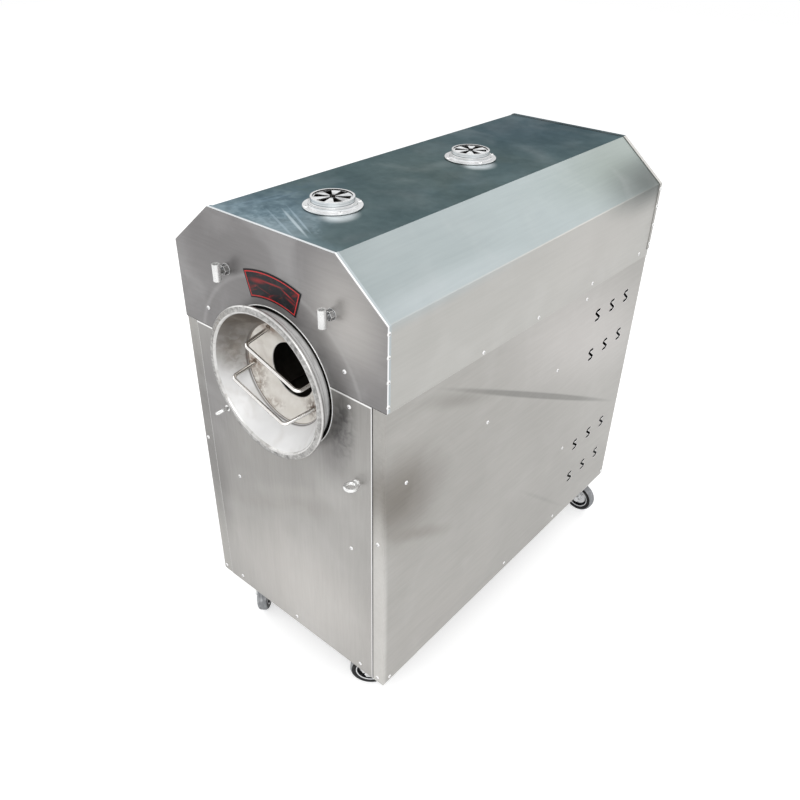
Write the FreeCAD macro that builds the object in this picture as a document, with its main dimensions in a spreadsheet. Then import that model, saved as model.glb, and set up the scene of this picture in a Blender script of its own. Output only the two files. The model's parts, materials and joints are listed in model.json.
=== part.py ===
import FreeCAD, Part

import math
import os

import Sketcher
from FreeCAD import Placement, Rotation, Vector

# A chestnut roasting machine: a steel cabinet on four casters, with a turning drum inside, whose funnel
# mouth comes out of the front. Millimetres. +Z is up, the front looks to -Y and the origin is on the floor,
# under the middle of the machine.

# Driving sizes in millimetres, angles in degrees. Heights are above the cabinet's lower edge, setbacks
# are behind the front plate.
SIZES = {
    # Cabinet
    "casing_length": 1100,
    "casing_width": 600,
    "seam_over_axis": 43,
    "hood_side_height": 181.3,
    "shoulder_run": 124.3,
    "shoulder_rise": 100.6,
    "sheet_gauge": 1.5,
    "seam_gap": 0.3,
    "panel_flange": 47,
    "front_panel_inset": 36.5,
    "hood_return": 10,
    "skirt_drop_front": 3,
    "skirt_drop_rear": 21,
    "cut_overrun": 5,
    "fit_clearance": 0.05,
    "running_gap": 0.3,
    # Frame
    "tube_side": 30,
    "tube_wall": 2,
    "frame_top_rise": 8,
    "drive_bay": 346.5,
    "front_rail_drop": 96.5,
    "side_rail_drop": 149,
    "motor_rail_height": 292,
    "bearer_offset": 40,
    # Heating chamber
    "drum_offset": 26,
    "blanket_gap": 3.7,
    "chamber_flange_gap": 10.2,
    "chamber_flange_gauge": 3,
    "insulation_thickness": 14,
    "element_gap": 32,
    "element_radius": 4,
    "element_bend": 20,
    "element_spread_angle": 22,
    "element_front": 145,
    "element_tail": 36.5,
    "element_hole_gap": 1,
    "cradle_gauge": 2,
    "cradle_front_setback": 200,
    "cradle_rear_gap": 153.5,
    "cradle_half_width": 135,
    "cradle_gap": 10,
    # Vents
    "vent_front_setback": 176.4,
    "vent_rear_gap": 111.5,
    "vent_flange_gauge": 2,
    "vent_screw_margin": 0.85,
    "vent_step_width": 5,
    "vent_step_height": 6,
    "vent_collar_radius": 45.2,
    "vent_collar_wall": 4.5,
    "vent_height": 19.6,
    "duct_step": 3.7,
    "duct_wall": 1.5,
    "duct_hole_gap": 0.8,
    "rosette_gauge": 2,
    "rosette_sink": 1.8,
    "rosette_hub": 7,
    "rosette_rim": 3,
    "rosette_pin_radius": 3,
    "rosette_cap_radius": 6,
    "window_half_angle": 14,
    "damper_rest_angle": 3,
    # Drum
    "drum_axis_height": 749,
    "drum_gap": 4,
    "drum_wall": 3,
    "drum_front": 30,
    "drum_rear_gap": 18.5,
    "drum_plate_gauge": 4,
    "riding_ring_rise": 4,
    "riding_ring_front": 70,
    "riding_ring_width": 32,
    "mouth_wall": 53.2,
    "mouth_lip_overhang": 13.2,
    "mouth_lip_width": 17.4,
    "mouth_front": 40,
    "mouth_lip_depth": 6,
    "mouth_lip_bevel": 2,
    "mouth_gap": 6.8,
    "mouth_neck_front": 4,
    "mouth_neck_draft": 2,
    "funnel_taper": 39.6,
    "funnel_step_setback": 18,
    "feed_rim": 55,
    "feed_hole_setback": 42,
    "feed_sheet": 3,
    "flight_height": 35,
    "flight_gauge": 3,
    "flight_tail": 25,
    "flight_inset": 20,
    "rod_radius": 4,
    "rod_bend": 12,
    "rod_proud": 2,
    "rod_tilt_angle": 18,
    # Drum support and drive
    "carrier_setback": 60,
    "carrier_gauge": 6,
    "carrier_gap": 2.5,
    "carrier_half_width": 150,
    "roller_radius": 22,
    "roller_width": 24,
    "roller_pin_radius": 6,
    "roller_shoulder_radius": 9,
    "roller_shoulder_length": 7.7,
    "roller_angle": 28,
    "pin_washer_gauge": 2,
    "shaft_radius": 17.5,
    "shaft_flange_radius": 45,
    "shaft_flange_gauge": 6,
    "shaft_hole_gap": 3,
    "bearing_half_width": 65,
    "bearing_foot": 12,
    "bearing_centre": 49,
    "bearing_neck_half": 30,
    "bearing_radius": 35,
    "bearing_margin": 2,
    "pulley_gap": 51.5,
    "pulley_width": 25,
    "pulley_flange": 12,
    "pulley_groove_radius": 100,
    "pulley_hub_radius": 30,
    "pulley_web": 9,
    "groove_flare": 2,
    "small_groove_radius": 36,
    "belt_width": 13,
    "belt_thickness": 8,
    "gearbox_gap": 96.5,
    "gearbox_length": 100,
    "gearbox_width": 110,
    "gearbox_height": 110,
    "gear_shaft_radius": 12.5,
    "gear_shaft_seat": 45,
    "motor_radius": 52,
    "motor_gap": 15.5,
    "fan_cover_radius": 54,
    "fan_cover_length": 25,
    "terminal_box_side": 60,
    "terminal_box_height": 28,
    # Front fittings
    "badge_gap": 42.2,
    "badge_height": 59,
    "badge_half_angle": 18.6,
    "badge_turn_angle": 1.1,
    "badge_gauge": 1.5,
    "socket_radius": 8.7,
    "socket_bore": 5.25,
    "socket_length": 37,
    "socket_gap": 4.7,
    "socket_chamber_gap": 19.05,
    "socket_right_inset": 133.5,
    "socket_left_inset": 167,
    "stud_radius": 6,
    "stud_nut_side": 11,
    "stud_nut_height": 10,
    "stud_washer_radius": 12,
    "stud_washer_gauge": 1.6,
    "stud_tail": 14,
    "eye_radius": 16.5,
    "eye_bore": 7.75,
    "eye_gauge": 8,
    "eye_gap": 1.5,
    "eye_drop": 159,
    "eye_right_inset": 77,
    "eye_left_inset": 113,
    "eye_left_angle": 37,
    "eye_shank_radius": 4,
    "eye_collar_radius": 8,
    "eye_collar_gauge": 3,
    "eye_nut_side": 7.5,
    "eye_nut_height": 6.5,
    "eye_tail": 14,
    # Screws and slots
    "screw_head_radius": 4.75,
    "screw_head_height": 2.5,
    "screw_crown_radius": 3,
    "screw_shank_radius": 2,
    "screw_length": 8,
    "slot_width": 7,
    "slot_diagonal": 30.6,
    "slot_diagonal_angle": 38.4,
    "slot_belly": 7.5,
    "slot_belly_angle": 37,
    "slot_arm": 13.4,
    "slot_rear_gap": 248,
    "slot_pitch": 80.5,
    "slot_upper_drop": 175,
    "slot_lower_height": 193,
    "slot_row_pitch": 120,
    "louvre_length": 60,
    "louvre_width": 5,
    "louvre_pitch": 14,
    "louvre_offset": 90,
    "louvre_height": 200,
    # Controls
    "control_width": 220,
    "control_height": 150,
    "control_gauge": 2,
    "control_inset": 170,
    "control_drop": 20,
    "box_width": 200,
    "box_depth": 70,
    "knob_radius": 20,
    "knob_step": 2,
    "knob_length": 25.7,
    "switch_radius": 16,
    "switch_grip": 9,
    "stem_radius": 4,
    "stem_length": 1.8,
    "button_radius": 10,
    "button_length": 7,
    "button_travel": 3,
    "button_play": 0.2,
    "bezel_radius": 14,
    "bezel_height": 6,
    "lamp_height": 8,
    "stop_cap_radius": 13,
    "stop_cap_height": 4,
    "control_spread": 55,
    "control_rise": 34,
    "gland_side": 12,
    "gland_step": 2,
    "gland_length": 18,
    "gland_thread_radius": 8,
    "gland_bore": 5,
    "gland_inset": 100,
    "gland_height": 170,
    "gland_nut_height": 6,
    # Casters
    "crown_gap": 8.2,
    "kingpin_inset": 75,
    "front_kingpin_setback": 88,
    "rear_kingpin_setback": 63,
    "caster_pad_side": 130,
    "caster_pad_gauge": 5,
    "caster_plate_side": 90,
    "caster_plate_gauge": 3.5,
    "race_radius": 30,
    "race_height": 10,
    "kingpin_radius": 6,
    "kingpin_length": 7,
    "crown_gauge": 3,
    "crown_radius": 26,
    "caster_trail": 38,
    "wheel_radius": 50,
    "tyre_width": 28,
    "tyre_depth": 16,
    "tyre_shoulder": 8,
    "hub_margin": 1,
    "hub_disc": 12,
    "hub_core_radius": 12,
    "leg_gauge": 3,
    "leg_gap": 0.5,
    "axle_radius": 5,
    "axle_head_radius": 10.5,
    "axle_head_height": 8,
    "caster_bolt_radius": 4,
    "caster_bolt_side": 6.5,
    "caster_bolt_head": 5,
    "caster_bolt_spread": 33,
    "front_right_angle": 216,
    "front_left_angle": -53,
    "rear_right_angle": 0,
    "rear_left_angle": 180,
    "brake_drop": 18.2,
    "brake_gap": 0.7,
    "brake_setback": 27,
    "brake_width": 26,
    "brake_lug": 3,
    "brake_pin_radius": 2.5,
    "brake_barrel_radius": 4.8,
    "brake_reach": 20,
    "brake_gauge": 4,
    "brake_rim": 4,
}

# Shares of the pieces that they follow, chosen by hand
HALF_SHARE = 0.5
SIDE_SCREW_SHARES = (0.284, 0.482, 0.711, 0.947)
FOOT_SCREW_SHARE = 0.72
CORNER_SCREW_SHARE = 0.4
RETURN_SCREW_SHARES = (0.92, 0.66, 0.375, 0.08)
RAIL_SCREW_SHARES = (0.048, 0.45, 0.88)
LOWER_SCREW_SHARES = (0.47, 0.709)
POST_SCREW_SHARES = (0.95, 0.36)
FLANGE_SCREW_SHARES = {1: (0.45, 0.571), -1: (0.72, 0.577)}
RING_SCREWS_SHARES = ((-61.1, 0.9), (58.4, 0.65), (77.6, 0.29))
PANEL_SCREWS_SHARES = (-0.82, 0.0, 0.85)
MID_SCREWS_SHARES = (-0.66, 0.77)
REAR_SCREW_SHARES = (0.04, 0.5, 0.96)
# Outline of a caster leg: along the trail and up from the axle, in shares of the trail and leg height
LEG_SHARES = ((-0.5, 1.0), (0.6, 1.0), (1.32, 0.08), (1.24, -0.13), (0.88, -0.17), (-0.2, 0.45))
# The two bars in the funnel: level of the bar, its two corners and its two feet, in shares of the radius
# of the step in the funnel
ROD_SHARES = (
    (0.53, -0.583, 0.809, (-0.635, 0.652), (0.783, 0.574)),
    (-0.426, -0.765, 0.678, (-0.817, -0.374), (0.852, -0.174)),
)
# Rounding of the tread: depth below the wheel's radius and place across, in shares of the shoulder
TREAD_SHARES = ((1.0, 1.0), (0.62, 0.96), (0.3, 0.84), (0.08, 0.64), (0.0, 0.4))
VENT_SCREW_ANGLES = (30, 120, 210, 300)
SLOT_COLUMNS = 3
LOUVRES = 12
PETALS = 6
FLIGHTS = 4

AXES = "XYZ"
TURNS = {"X": Rotation(Vector(0, 1, 0), 90), "Y": Rotation(Vector(1, 0, 0), -90), "Z": Rotation()}
PLANES = {"X": "YZ_Plane", "Y": "XZ_Plane", "Z": "XY_Plane"}

doc = FreeCAD.newDocument("Roaster")
sheet = doc.addObject("Spreadsheet::Sheet", "Dims")
for row, (alias, amount) in enumerate(SIZES.items(), start=1):
    sheet.set(f"A{row}", alias)
    sheet.set(f"B{row}", str(amount))
    sheet.setAlias(f"B{row}", alias)
doc.recompute()


class Size:
    """A formula on the sheet together with the number that it gives."""

    def __init__(self, formula, number):
        self.formula = formula
        self.number = number

    def joined(self, sign, other, number):
        """Return the size made of this one, a sign and another, with its number."""
        return Size(f"({self.formula} {sign} {formula_of(other)})", number)

    def __add__(self, other):
        return self.joined("+", other, self.number + number_of(other))

    def __sub__(self, other):
        return self.joined("-", other, self.number - number_of(other))

    def __mul__(self, other):
        return self.joined("*", other, self.number * number_of(other))

    def __truediv__(self, other):
        return self.joined("/", other, self.number / number_of(other))

    def __radd__(self, other):
        return self + other

    def __rsub__(self, other):
        return -self + other

    def __rmul__(self, other):
        return self * other

    def __neg__(self):
        return Size(f"(0 - {self.formula})", -self.number)


def formula_of(value):
    """Return the formula of a size, or a plain number as text."""
    return value.formula if isinstance(value, Size) else repr(float(value))


def number_of(value):
    """Return the number of a size, or a plain number itself."""
    return value.number if isinstance(value, Size) else float(value)


def sine(angle):
    """Return the sine of an angle in degrees."""
    return Size(f"sin({formula_of(angle)})", math.sin(math.radians(number_of(angle))))


def cosine(angle):
    """Return the cosine of an angle in degrees."""
    return Size(f"cos({formula_of(angle)})", math.cos(math.radians(number_of(angle))))


def root(value):
    """Return the square root of a size."""
    return Size(f"sqrt({formula_of(value)})", math.sqrt(number_of(value)))


class Dims:
    """The sheet's sizes by their names."""

    def __getattr__(self, alias):
        return Size(f"Dims.{alias}", float(sheet.get(alias)))


d = Dims()

# Nodes that are written out, by name, and the screws, as seats and the way that they look
nodes = {}
screws = []


def keep(label, item):
    """Keep an object as a sub-part under its own label."""
    item.Label = label
    nodes[label] = item
    return item


def bind(item, prop, value):
    """Bind a property to a size, or set it where it is a plain number."""
    if isinstance(value, Size):
        item.setExpression(prop, value.formula)
    else:
        setattr(item, prop, value)


def place(item, x, y, z, turn=None):
    """Place an object at three sizes, with an optional turn."""
    item.Placement = Placement(Vector(number_of(x), number_of(y), number_of(z)), turn or Rotation())
    for axis, value in zip("xyz", (x, y, z)):
        if isinstance(value, Size):
            item.setExpression(f"Placement.Base.{axis}", value.formula)
    return item


def box(x, y, z):
    """Make a box from its spans along X, Y and Z."""
    item = doc.addObject("Part::Box", "Block")
    for prop, span in zip(("Length", "Width", "Height"), (x, y, z)):
        bind(item, prop, span[1] - span[0])
    return place(item, x[0], y[0], z[0])


def along(item, axis, centre, start):
    """Turn an object from Z to another axis and put it at a centre and a start."""
    spot = list(centre)
    spot.insert(AXES.index(axis), start)
    return place(item, *spot, TURNS[axis])


def rod(axis, centre, span, radius):
    """Make a cylinder along an axis, from its centre line, span and radius."""
    item = doc.addObject("Part::Cylinder", "Round")
    bind(item, "Radius", radius)
    bind(item, "Height", span[1] - span[0])
    return along(item, axis, centre, span[0])


def prism(axis, centre, span, side):
    """Make a hexagonal prism from its centre line, span and side."""
    item = doc.addObject("Part::Prism", "Hexagon")
    item.Polygon = PETALS
    bind(item, "Circumradius", side)
    bind(item, "Height", span[1] - span[0])
    return along(item, axis, centre, span[0])


def fuse(*items):
    """Join objects into one."""
    if len(items) == 1:
        return items[0]
    item = doc.addObject("Part::MultiFuse", "Joined")
    item.Shapes = list(items)
    return item


def cut(base, *tools):
    """Cut one or more objects out of another."""
    item = doc.addObject("Part::Cut", "Bored")
    item.Base = base
    item.Tool = fuse(*tools)
    return item


def common(base, tool):
    """Keep what two objects share."""
    item = doc.addObject("Part::Common", "Shared")
    item.Base = base
    item.Tool = tool
    return item


def group(*items):
    """Hold separate solids as one object."""
    item = doc.addObject("Part::Compound", "Group")
    item.Links = list(items)
    return item


def mirrored(source):
    """Mirror an object to the other side of the middle plane."""
    item = doc.addObject("Part::Mirroring", "Mirror")
    item.Source = source
    item.Normal = Vector(1, 0, 0)
    return item


def widened(span, margin):
    """Return a span grown at both ends."""
    return span[0] - margin, span[1] + margin


def tube(axis, centre, span, radius, bore):
    """Make a round tube from its centre line, span, radius and bore."""
    hole = rod(axis, centre, widened(span, d.cut_overrun), bore)
    return cut(rod(axis, centre, span, radius), hole)


def square_tube(axis, x, y, z):
    """Make a square tube that runs along one axis, from its three spans."""
    inner = [widened(span, -d.tube_wall) for span in (x, y, z)]
    inner[AXES.index(axis)] = widened((x, y, z)[AXES.index(axis)], d.cut_overrun)
    return cut(box(x, y, z), box(*inner))


def closed_sketch(body, plane, points):
    """Draw a closed outline on a body's origin plane, each point bound to its sizes."""
    sketch = body.newObject("Sketcher::SketchObject", "Outline")
    plane = [part for part in body.Origin.OriginFeatures if part.Role == plane][0]
    sketch.AttachmentSupport = [(plane, "")]
    sketch.MapMode = "FlatFace"
    spots = [Vector(number_of(a), number_of(b), 0) for a, b in points]
    for index, spot in enumerate(spots):
        sketch.addGeometry(Part.LineSegment(spot, spots[(index + 1) % len(spots)]), False)
    for index, (a, b) in enumerate(points):
        sketch.addConstraint(Sketcher.Constraint("Coincident", index, 2, (index + 1) % len(points), 1))
        for kind, value in (("DistanceX", a), ("DistanceY", b)):
            number = number_of(value)
            held = sketch.addConstraint(Sketcher.Constraint(kind, -1, 1, index, 1, number))
            if isinstance(value, Size):
                sketch.setExpression(f"Constraints[{held}]", value.formula)
    return sketch


def plate(axis, points, span):
    """Make a plate from its outline square to an axis and its span along it."""
    body = doc.addObject("PartDesign::Body", "Plate")
    pad = body.newObject("PartDesign::Pad", "Thickness")
    pad.Profile = closed_sketch(body, PLANES[axis], points)
    bind(pad, "Length", span[1] - span[0])
    pad.Reversed = axis == "Y"
    spot = [0, 0, 0]
    spot[AXES.index(axis)] = span[0]
    return place(body, *spot)


def turned(axis, centre, start, profile):
    """Make a turned piece from its profile of radii and places along the axis."""
    body = doc.addObject("PartDesign::Body", "Turned")
    sketch = closed_sketch(body, "XZ_Plane", profile)
    spin = body.newObject("PartDesign::Revolution", "Turning")
    spin.Profile = sketch
    spin.ReferenceAxis = (sketch, ["V_Axis"])
    spin.Angle = 360
    return along(body, axis, centre, start)


def copies(shape, spots):
    """Hold copies of a shape at a list of placements as one object."""
    made = []
    for spot in spots:
        made.append(shape.copy())
        made[-1].Placement = spot.multiply(made[-1].Placement)
    item = doc.addObject("Part::Feature", "Copies")
    item.Shape = Part.makeCompound(made)
    return item


# Sizes that follow from the driving ones
gauge = d.sheet_gauge
half = d.casing_width / 2
mouth_reach = d.mouth_front + d.rod_proud + d.rod_radius
rear_reach = d.control_gauge + d.running_gap + d.knob_length
crown_rise = d.wheel_radius * 2 + d.crown_gap + d.crown_gauge
caster_height = (
    crown_rise + d.running_gap + d.race_height + d.caster_plate_gauge + d.caster_pad_gauge
)
seam_height = d.drum_axis_height + d.seam_over_axis
shoulder_height = seam_height + d.hood_side_height
front_panel_half = half - d.front_panel_inset
bulkhead_setback = d.casing_length - d.drive_bay

# Levels and planes that the pieces share
front = (mouth_reach - d.casing_length - rear_reach) / 2
rear = front + d.casing_length
base = caster_height
frame_half = half - gauge * 3
frame_inner = frame_half - d.tube_side
seam = base + seam_height
frame_top = seam + d.frame_top_rise
roof = base + shoulder_height + d.shoulder_rise
drum_z = base + d.drum_axis_height
chamber_axis_height = d.drum_axis_height - d.drum_offset
chamber_z = base + chamber_axis_height
bulkhead_front = front + bulkhead_setback
front_post = (front + gauge * 2, front + gauge * 2 + d.tube_side)
mid_post = (bulkhead_front + gauge, bulkhead_front + gauge + d.tube_side)
rear_post = (rear - gauge - d.tube_side, rear - gauge)

# The chamber fills the frame, the drum fills the chamber and the mouth follows the drum
chamber_radius = frame_inner - d.blanket_gap - d.insulation_thickness - d.running_gap
chamber_bore = chamber_radius - gauge
riding_ring_radius = chamber_bore - d.drum_offset - d.drum_gap
drum_radius = riding_ring_radius - d.riding_ring_rise
drum_rear = bulkhead_setback - d.drum_rear_gap
mouth_opening_radius = drum_radius - d.mouth_wall
mouth_lip_radius = mouth_opening_radius + d.mouth_lip_overhang
mouth_inner_radius = mouth_lip_radius - d.mouth_lip_width
mouth_neck_radius = mouth_opening_radius - d.mouth_gap
funnel_step_radius = mouth_inner_radius - d.funnel_taper
feed_hole_radius = funnel_step_radius + d.feed_sheet - d.feed_rim
chamber_flange_inner = mouth_opening_radius + d.drum_offset + d.chamber_flange_gap
front_rail_height = chamber_axis_height - chamber_radius - d.front_rail_drop
side_rail_height = chamber_axis_height - d.side_rail_drop
bearing_rail_height = d.drum_axis_height - d.bearing_centre - d.tube_side
vent_rear_setback = bulkhead_setback - d.vent_rear_gap
vent_step_radius = d.vent_collar_radius + d.vent_step_width
vent_flange_radius = vent_step_radius + (d.screw_head_radius + d.vent_screw_margin) * 2
vent_bore = d.vent_collar_radius - d.vent_collar_wall
duct_radius = d.vent_collar_radius - d.duct_step
socket_circle = chamber_radius + d.socket_chamber_gap
socket_left_offset = half - d.socket_left_inset
socket_climb = root(socket_circle * socket_circle - socket_left_offset * socket_left_offset)
socket_height = chamber_axis_height + socket_climb
socket_stand = d.socket_radius + d.socket_gap + d.stud_nut_height + d.stud_washer_gauge
eye_height = d.drum_axis_height - d.eye_drop
eye_stand = d.eye_radius + d.eye_gap
control_offset = half - d.control_inset
gland_offset = half - d.gland_inset
pulley_setback = bulkhead_setback + d.pulley_gap
shoulder_slope = root(d.shoulder_run * d.shoulder_run + d.shoulder_rise * d.shoulder_rise)


def setback(distance):
    """Return the place at a distance behind the front plate."""
    return front + distance


def raised(height):
    """Return the level at a height above the cabinet's lower edge."""
    return base + height


def rail_span(height):
    """Return the span of a tube whose lower face is at a height."""
    return raised(height), raised(height) + d.tube_side


def hood_points(inset, foot):
    """Return the cabinet's outline with its sloped shoulders, drawn in by an inset, from a foot level up."""
    side = half - inset
    knee = base + shoulder_height - inset * (shoulder_slope - d.shoulder_run) / d.shoulder_rise
    edge = half - d.shoulder_run - inset * (shoulder_slope - d.shoulder_rise) / d.shoulder_run
    top = roof - inset
    right = [(side, foot), (side, knee), (edge, top)]
    return right + [(-x, z) for x, z in reversed(right)]


def seat(x, y, z, facing):
    """Note a screw by its seat and the way that its head looks."""
    screws.append((Vector(number_of(x), number_of(y), number_of(z)), facing))


# Where the screws sit
for side, facing in ((1, "right"), (-1, "left")):
    skin = (half - gauge) * side
    panel = (half - gauge * 2) * side
    for share in SIDE_SCREW_SHARES:
        seat(skin, setback(d.casing_length * share), seam, facing)
    for share in RETURN_SCREW_SHARES:
        height = seam + (shoulder_height - seam_height) * share
        seat(half * side, front + d.hood_return * HALF_SHARE, height, facing)
        seat(half * side, rear - d.hood_return * HALF_SHARE, height, facing)
    for share in RAIL_SCREW_SHARES:
        place_y = front_post[1] + (bulkhead_front - front_post[1]) * share
        seat(panel, place_y, raised(side_rail_height) + d.tube_side * HALF_SHARE, facing)
    for share in LOWER_SCREW_SHARES:
        seat(panel, setback(d.casing_length * share), base + d.tube_side * FOOT_SCREW_SHARE, facing)
    for share in POST_SCREW_SHARES:
        seat(panel, mid_post[0] + d.tube_side * HALF_SHARE, raised(seam_height * share), facing)
    for post in (front_post, rear_post):
        seat(panel, post[0] + d.tube_side * FOOT_SCREW_SHARE, base + d.tube_side * CORNER_SCREW_SHARE, facing)
    share_x, share_z = FLANGE_SCREW_SHARES[side]
    column = (frame_inner + d.tube_side * share_x) * side
    seat(column, front + gauge, raised(seam_height * share_z), "front")
    seat(column, front + gauge, base + d.tube_side * HALF_SHARE, "front")
    for share in REAR_SCREW_SHARES:
        seat((frame_inner + d.tube_side * HALF_SHARE) * side, rear, raised(seam_height * share), "rear")
for angle, share in RING_SCREWS_SHARES:
    radius = chamber_flange_inner + (chamber_radius - chamber_flange_inner) * share
    seat(radius * sine(angle), front, chamber_z + radius * cosine(angle), "front")
for share in PANEL_SCREWS_SHARES:
    seat(front_panel_half * share, front, base + d.tube_side * FOOT_SCREW_SHARE, "front")
for share in MID_SCREWS_SHARES:
    seat(front_panel_half * share, front, raised(front_rail_height) + d.tube_side * HALF_SHARE, "front")
vent_screw_circle = (vent_flange_radius + vent_step_radius) / 2
for vent in (d.vent_front_setback, vent_rear_setback):
    for angle in VENT_SCREW_ANGLES:
        spot = (vent_screw_circle * sine(angle), setback(vent) + vent_screw_circle * cosine(angle))
        seat(*spot, roof + d.vent_flange_gauge, "top")

FACINGS = {
    "front": Rotation(Vector(1, 0, 0), 90),
    "rear": Rotation(Vector(1, 0, 0), -90),
    "right": Rotation(Vector(0, 1, 0), 90),
    "left": Rotation(Vector(0, 1, 0), -90),
    "top": Rotation(),
}
screw_places = [Placement(spot, FACINGS[facing]) for spot, facing in screws]


def pan_head_screw():
    """Return one screw's shape, head up, with its seat at the origin."""
    down = Vector(0, 0, -1)
    crown = d.screw_head_height.number * HALF_SHARE
    shank = Part.makeCylinder(d.screw_shank_radius.number, d.screw_length.number, Vector(), down)
    head = Part.makeCylinder(d.screw_head_radius.number, crown)
    top = Part.makeCone(d.screw_head_radius.number, d.screw_crown_radius.number, crown, Vector(0, 0, crown))
    return shank.fuse([head, top]).removeSplitter()


def screw_hole():
    """Return the hole that one screw needs."""
    radius = (d.screw_shank_radius + d.fit_clearance).number
    depth = (d.screw_length + d.fit_clearance).number
    return Part.makeCylinder(radius, depth, Vector(), Vector(0, 0, -1))


screw_holes = copies(screw_hole(), screw_places)
keep("panel_screws", copies(pan_head_screw(), screw_places))

# Frame posts and rails
posts = []
for side in (1, -1):
    x = (frame_inner, frame_half) if side > 0 else (-frame_half, -frame_inner)
    for y in (front_post, mid_post, rear_post):
        posts.append(square_tube("Z", x, y, (base, frame_top)))
keep("frame_posts", cut(group(*posts), screw_holes))

low = (base, base + d.tube_side)
high = (frame_top - d.tube_side, frame_top)
middle = rail_span(side_rail_height)
front_stretch = (front_post[1], bulkhead_front)
rear_stretch = (mid_post[1], rear_post[0])
across = (-frame_inner, frame_inner)
rails = []
for side in (1, -1):
    x = (frame_inner, frame_half) if side > 0 else (-frame_half, -frame_inner)
    for level, stretch in (
        (low, front_stretch),
        (low, rear_stretch),
        (middle, front_stretch),
        (high, front_stretch),
        (high, rear_stretch),
    ):
        rails.append(square_tube("Y", x, stretch, level))
    bearer = d.bearer_offset * side
    bearer_x = widened((bearer, bearer), d.tube_side * HALF_SHARE)
    rails.append(square_tube("Y", bearer_x, rear_stretch, rail_span(d.motor_rail_height)))
for y, level in (
    (front_post, low),
    (front_post, rail_span(front_rail_height)),
    (mid_post, low),
    (mid_post, rail_span(d.motor_rail_height)),
    (mid_post, rail_span(bearing_rail_height)),
    (rear_post, low),
    (rear_post, rail_span(d.motor_rail_height)),
    (rear_post, high),
):
    rails.append(square_tube("X", across, y, level))
keep("frame_rails", cut(group(*rails), screw_holes))

# Side panels, each bent round the front corner, with columns of serpentine vent slots
slot_half = d.slot_diagonal / 2
slot_corner = (-(slot_half * cosine(d.slot_diagonal_angle)), slot_half * sine(d.slot_diagonal_angle))
slot_belly = (
    slot_corner[0] + d.slot_belly * cosine(d.slot_belly_angle),
    slot_corner[1] + d.slot_belly * sine(d.slot_belly_angle),
)
slot_path = [(slot_belly[0] + d.slot_arm, slot_belly[1]), slot_belly, slot_corner]
slot_path += [(-y, -z) for y, z in reversed(slot_path)]


def serpentine_slot():
    """Return the cutter of one serpentine slot, centred on the origin and running along X."""
    line = Part.makePolygon([Vector(0, number_of(y), number_of(z)) for y, z in slot_path])
    outline = line.makeOffset2D(d.slot_width.number * HALF_SHARE, 0, False, False)
    depth = (gauge + d.cut_overrun * 2).number
    return Part.Face(outline).extrude(Vector(depth, 0, 0))


slot_x = number_of(frame_half - d.cut_overrun)
slot_places = []
for column in range(SLOT_COLUMNS):
    y = number_of(rear - d.slot_rear_gap + d.slot_pitch * column)
    for centre in (seam_height - d.slot_upper_drop, d.slot_lower_height):
        for share in (HALF_SHARE, -HALF_SHARE):
            z = number_of(raised(centre) + d.slot_row_pitch * share)
            slot_places.append(Placement(Vector(slot_x, y, z), Rotation()))
slots = copies(serpentine_slot(), slot_places)
outer = half - gauge * 2
panel_sheet = plate(
    "Z",
    [
        (outer, front + gauge),
        (outer, rear - gauge),
        (frame_half, rear - gauge),
        (frame_half, front + gauge * 2),
        (outer - d.panel_flange, front + gauge * 2),
        (outer - d.panel_flange, front + gauge),
    ],
    (base, frame_top),
)
slotted = cut(panel_sheet, slots)
keep("side_panel_right", cut(slotted, screw_holes))
keep("side_panel_left", cut(mirrored(slotted), screw_holes))

# Front and rear panels
mouth_hole = rod("Y", (0, drum_z), widened((front, front + gauge), d.cut_overrun), mouth_opening_radius)
eye_places = ((half - d.eye_right_inset, 0), (d.eye_left_inset - half, d.eye_left_angle))
eye_span = widened((front, setback(d.eye_tail)), d.cut_overrun)
eye_shank_bore = d.eye_shank_radius + d.fit_clearance
eye_holes = group(*[rod("Y", (x, raised(eye_height)), eye_span, eye_shank_bore) for x, turn in eye_places])
front_sheet = box((-front_panel_half, front_panel_half), (front, front + gauge), (base, seam - d.seam_gap))
keep("front_panel", cut(front_sheet, mouth_hole, eye_holes, screw_holes))

louvre_x = d.louvre_length * HALF_SHARE
gland_spot = (gland_offset, raised(d.gland_height))
rear_cut = widened((rear - gauge, rear), d.cut_overrun)
louvres = []
for column in (d.louvre_offset, -d.louvre_offset):
    for index in range(-LOUVRES // 2, LOUVRES // 2):
        level = raised(d.louvre_height) + d.louvre_pitch * index
        slit = widened((level, level), d.louvre_width * HALF_SHARE)
        louvres.append(box(widened((column, column), louvre_x), rear_cut, slit))
gland_hole = rod("Y", gland_spot, rear_cut, d.gland_thread_radius + d.fit_clearance)
rear_sheet = box((-outer, outer), (rear - gauge, rear), (base, seam - d.seam_gap))
keep("rear_panel", cut(rear_sheet, gland_hole, screw_holes, *louvres))

# Hood: a folded skin between two end plates with return flanges
vent_setbacks = (d.vent_front_setback, vent_rear_setback)
duct_holes = group(*[
    rod("Z", (0, setback(vent)), (chamber_z, roof + d.cut_overrun), duct_radius + d.duct_hole_gap)
    for vent in vent_setbacks
])
skin_span = (front + gauge, rear - gauge)
skin_outer = hood_points(gauge, base)
skin_inner = hood_points(gauge * 2, base)
skin_band = plate("Y", skin_outer + list(reversed(skin_inner)), skin_span)
skirt = plate(
    "X",
    [
        (front, base - d.cut_overrun),
        (rear, base - d.cut_overrun),
        (rear, seam - d.skirt_drop_rear),
        (front, seam - d.skirt_drop_front),
    ],
    (-half, half),
)
keep("hood_skin", cut(skin_band, skirt, duct_holes, screw_holes))


def hood_end(face, flange):
    """Make a hood end plate from the spans of its face and of its return flange."""
    sheet_face = plate("Y", hood_points(0, seam), face)
    lip = plate("Y", hood_points(0, seam) + list(reversed(hood_points(gauge, seam))), flange)
    return fuse(sheet_face, lip)


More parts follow.
